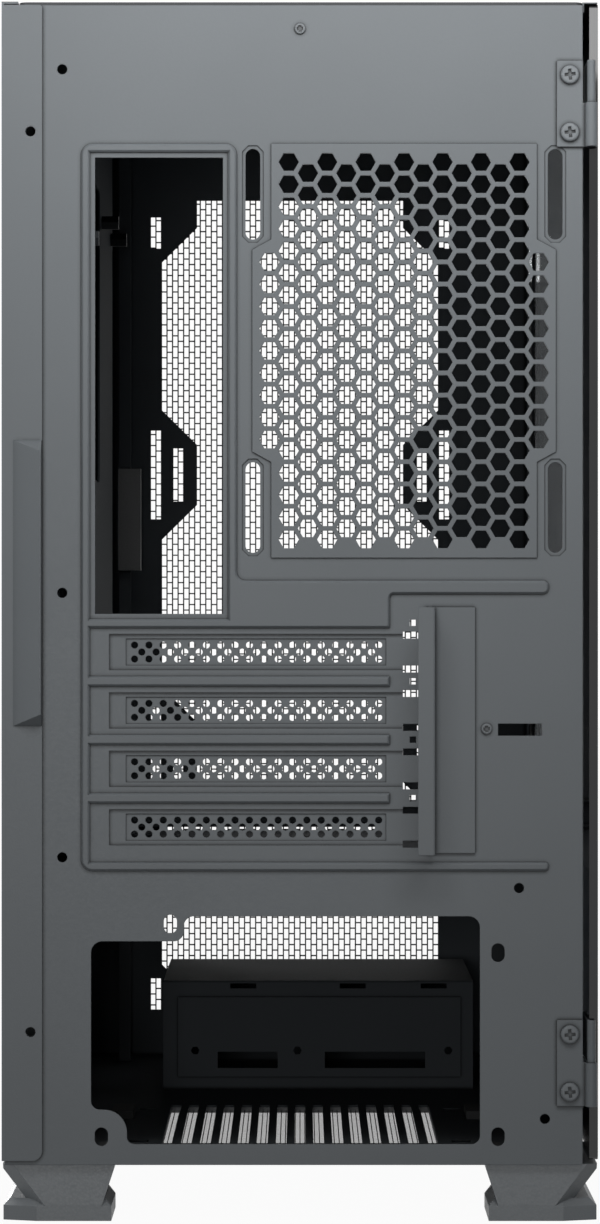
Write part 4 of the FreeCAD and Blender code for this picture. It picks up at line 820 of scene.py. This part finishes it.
class CASE_OT_finishes(bpy.types.Operator):
    """Finishes on every piece"""
    bl_idname = "case.finishes"
    bl_label = "Finishes"

    def execute(self, context):
        colours = context.scene.case_finishes
        by_slot = {
            # Lit and shaded copies of one powder coat: grey painted lighter for the outside, black painted
            # darker for the shade inside
            "grey_steel": powder_coat("powder_coat_lit_grey", colours.lit_outer_coat, 0.42, 0.15),
            "black_steel": powder_coat("powder_coat_shaded_black", colours.shaded_inner_coat, 0.7, 0.06),
            "screws": powder_coat("painted_screw_steel", colours.screw, 0.4, 0.2),
            "standoffs": plated_metal("blackened_steel", colours.standoff, 0.4, 0.0004),
            "tinted_glass": tinted_glass("tinted_float_glass", colours.glass_tint, colours.glass_border,
                                         colours.glass_band, colours.hinge_band),
            "magnets": plated_metal("nickel_plate", linear("#B9BCBE"), 0.25, 0.0008),
            "rubber": soft_rubber("cut_rubber", colours.rubber),
            "grey_plastic": moulded_plastic("moulded_abs_grey", colours.feet, 0.0009, 0.45),
            "black_plastic": moulded_plastic("moulded_abs_black", colours.black_plastic, 0.0009, 0.48),
            "filter_cloth": filter_cloth("woven_nylon", linear("#2A2C2E")),
            "socket_shells": plated_metal("plated_socket_steel", linear("#C4C6C8"), 0.3, 0.0006),
        }
        slots = {entry["node"]: entry["material_slot"] for entry in frame["record"]["subparts"]}
        for name, item in frame["nodes"].items():
            item.data.materials.clear()
            item.data.materials.append(by_slot[slots[name]])
        made = {"fine_front_mesh": "black_steel", "front_mesh_rim": "black_steel",
                "floor_filter_frame": "black_plastic", "floor_filter_cloth": "black_plastic",
                "hinge_cross_screws": "screws", "small_cross_screws": "screws",
                "slot_cross_screws": "screws", "front_plate_bar": "black_steel",
                "top_door_lip": "grey_steel"}
        for end in ("rear_left", "rear_right", "front_left", "front_right"):
            made[f"moulded_foot_{end}"] = "grey_plastic"
        for number in range(1, 5):
            made[f"punched_cover_{number}"] = "grey_steel"
        for name, slot in made.items():
            materials = bpy.data.objects[name].data.materials
            materials.clear()
            materials.append(by_slot[slot])
        return {"FINISHED"}


class CASE_OT_stage(bpy.types.Operator):
    """Floor, light and camera"""
    bl_idname = "case.stage"
    bl_label = "Stage"

    def execute(self, context):
        scene = context.scene
        stage = scene.case_stage
        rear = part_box("upper_case_leaf")[1][1]

        # White floor to the camera, in gloss and through glass, with a faint shadow left on it
        floor_size, floor_grey, floor_white, dim_light = 12, 0.22, 0.96, 0.04
        deselect()
        bpy.ops.mesh.primitive_plane_add(size=floor_size)
        floor = bpy.context.active_object
        floor.name = "floor"
        material, tree, output, _ = new_material("pale_floor")
        shown = background_rays(tree)
        matte = add_node(tree, "ShaderNodeBsdfDiffuse", {"Color": (floor_grey, floor_grey, floor_grey, 1)})
        glow = add_node(tree, "ShaderNodeEmission", {"Color": (1, 1, 1, 1), "Strength": 1})
        seen = add_node(tree, "ShaderNodeMath", {0: shown, 1: floor_white}, operation="MULTIPLY")
        mixed = add_node(tree, "ShaderNodeMixShader", {0: seen.outputs[0], 1: matte.outputs[0],
                                                       2: glow.outputs[0]})
        tree.links.new(mixed.outputs[0], output.inputs["Surface"])
        floor.data.materials.append(material)

        world = bpy.data.worlds.new("studio")
        world.use_nodes = True
        scene.world = world
        tree = world.node_tree
        tree.nodes.clear()
        dim = add_node(tree, "ShaderNodeBackground", {"Color": (1, 1, 1, 1), "Strength": dim_light})
        white = add_node(tree, "ShaderNodeBackground", {"Color": (1, 1, 1, 1), "Strength": 1})
        mixed = add_node(tree, "ShaderNodeMixShader", {0: background_rays(tree), 1: dim.outputs[0],
                                                       2: white.outputs[0]})
        add_node(tree, "ShaderNodeOutputWorld", {"Surface": mixed.outputs[0]})

        # Name, place, aim, size and watts of each lamp
        lamps = (("key", (0.05, rear - 0.31, 0.61), (0.05, rear, 0.61), (0.5, 0.34), 3.5),
                 ("fill", (-0.15, rear - 1.8, 0.2), (0.0, rear, 0.2), (0.3, 0.3), 8),
                 ("left", (-1.5, 0.1, 0.7), (-0.1, 0.0, 0.22), (0.8, 0.8), 16),
                 ("front", (-0.8, 1.7, 0.25), (0.0, 0.16, 0.22), (0.5, 0.4), 10),
                 ("top", (-0.5, 0.15, 1.6), (0.0, 0.0, 0.42), (0.6, 0.6), 9))
        for name, spot, aim, extent, power in lamps:
            deselect()
            bpy.ops.object.light_add(type="AREA", location=spot)
            lamp = bpy.context.active_object
            lamp.name = name
            lamp.data.shape = "RECTANGLE"
            lamp.data.size, lamp.data.size_y = extent
            lamp.data.energy = power
            direction = [target - start for target, start in zip(aim, spot)]
            flat = math.hypot(direction[0], direction[1])
            lamp.rotation_euler = (math.atan2(flat, -direction[2]), 0,
                                   math.atan2(-direction[0], direction[1]))

        deselect()
        bpy.ops.object.camera_add(location=(0, rear - stage.distance, stage.height),
                                  rotation=(math.pi / 2, 0, 0))
        camera = bpy.context.active_object
        camera.data.sensor_fit = "VERTICAL"
        camera.data.sensor_height = 36
        camera.data.lens = camera.data.sensor_height * stage.distance / stage.view_height
        camera.data.clip_end = 30
        scene.camera = camera
        scene.view_settings.view_transform = "Standard"
        return {"FINISHED"}


class CASE_PT_panel(bpy.types.Panel):
    """Case tools in the sidebar"""
    bl_label = "Case"
    bl_idname = "CASE_PT_panel"
    bl_space_type = "VIEW_3D"
    bl_region_type = "UI"
    bl_category = "Case"

    def draw(self, context):
        for key in GROUPS:
            group = getattr(context.scene, key)
            for name in group.__annotations__:
                self.layout.prop(group, name)
        for operator in OPERATORS:
            self.layout.operator(operator.bl_idname)


OPERATORS = (CASE_OT_front_mesh, CASE_OT_front_bar, CASE_OT_top_lip, CASE_OT_floor_filter, CASE_OT_feet,
             CASE_OT_screws, CASE_OT_slot_covers, CASE_OT_finishes, CASE_OT_stage)
GROUPS = {"case_finishes": CaseFinishes, "case_mesh": CaseMesh, "case_filter": CaseFilter,
          "case_feet": CaseFeet, "case_bar": CaseBar, "case_lip": CaseLip, "case_covers": CaseCovers,
          "case_screws": CaseScrews, "case_stage": CaseStage}


def register():
    for kind in (*GROUPS.values(), *OPERATORS, CASE_PT_panel):
        bpy.utils.register_class(kind)
    for name, group in GROUPS.items():
        setattr(bpy.types.Scene, name, bpy.props.PointerProperty(type=group))


def unregister():
    for name in GROUPS:
        delattr(bpy.types.Scene, name)
    for kind in reversed((*GROUPS.values(), *OPERATORS, CASE_PT_panel)):
        bpy.utils.unregister_class(kind)


def main():
    register()
    bpy.ops.case.front_mesh()
    bpy.ops.case.front_bar()
    bpy.ops.case.top_lip()
    bpy.ops.case.floor_filter()
    bpy.ops.case.feet()
    bpy.ops.case.screws()
    bpy.ops.case.slot_covers()
    bpy.ops.case.finishes()
    bpy.ops.case.stage()


if __name__ == "__main__":
    main()
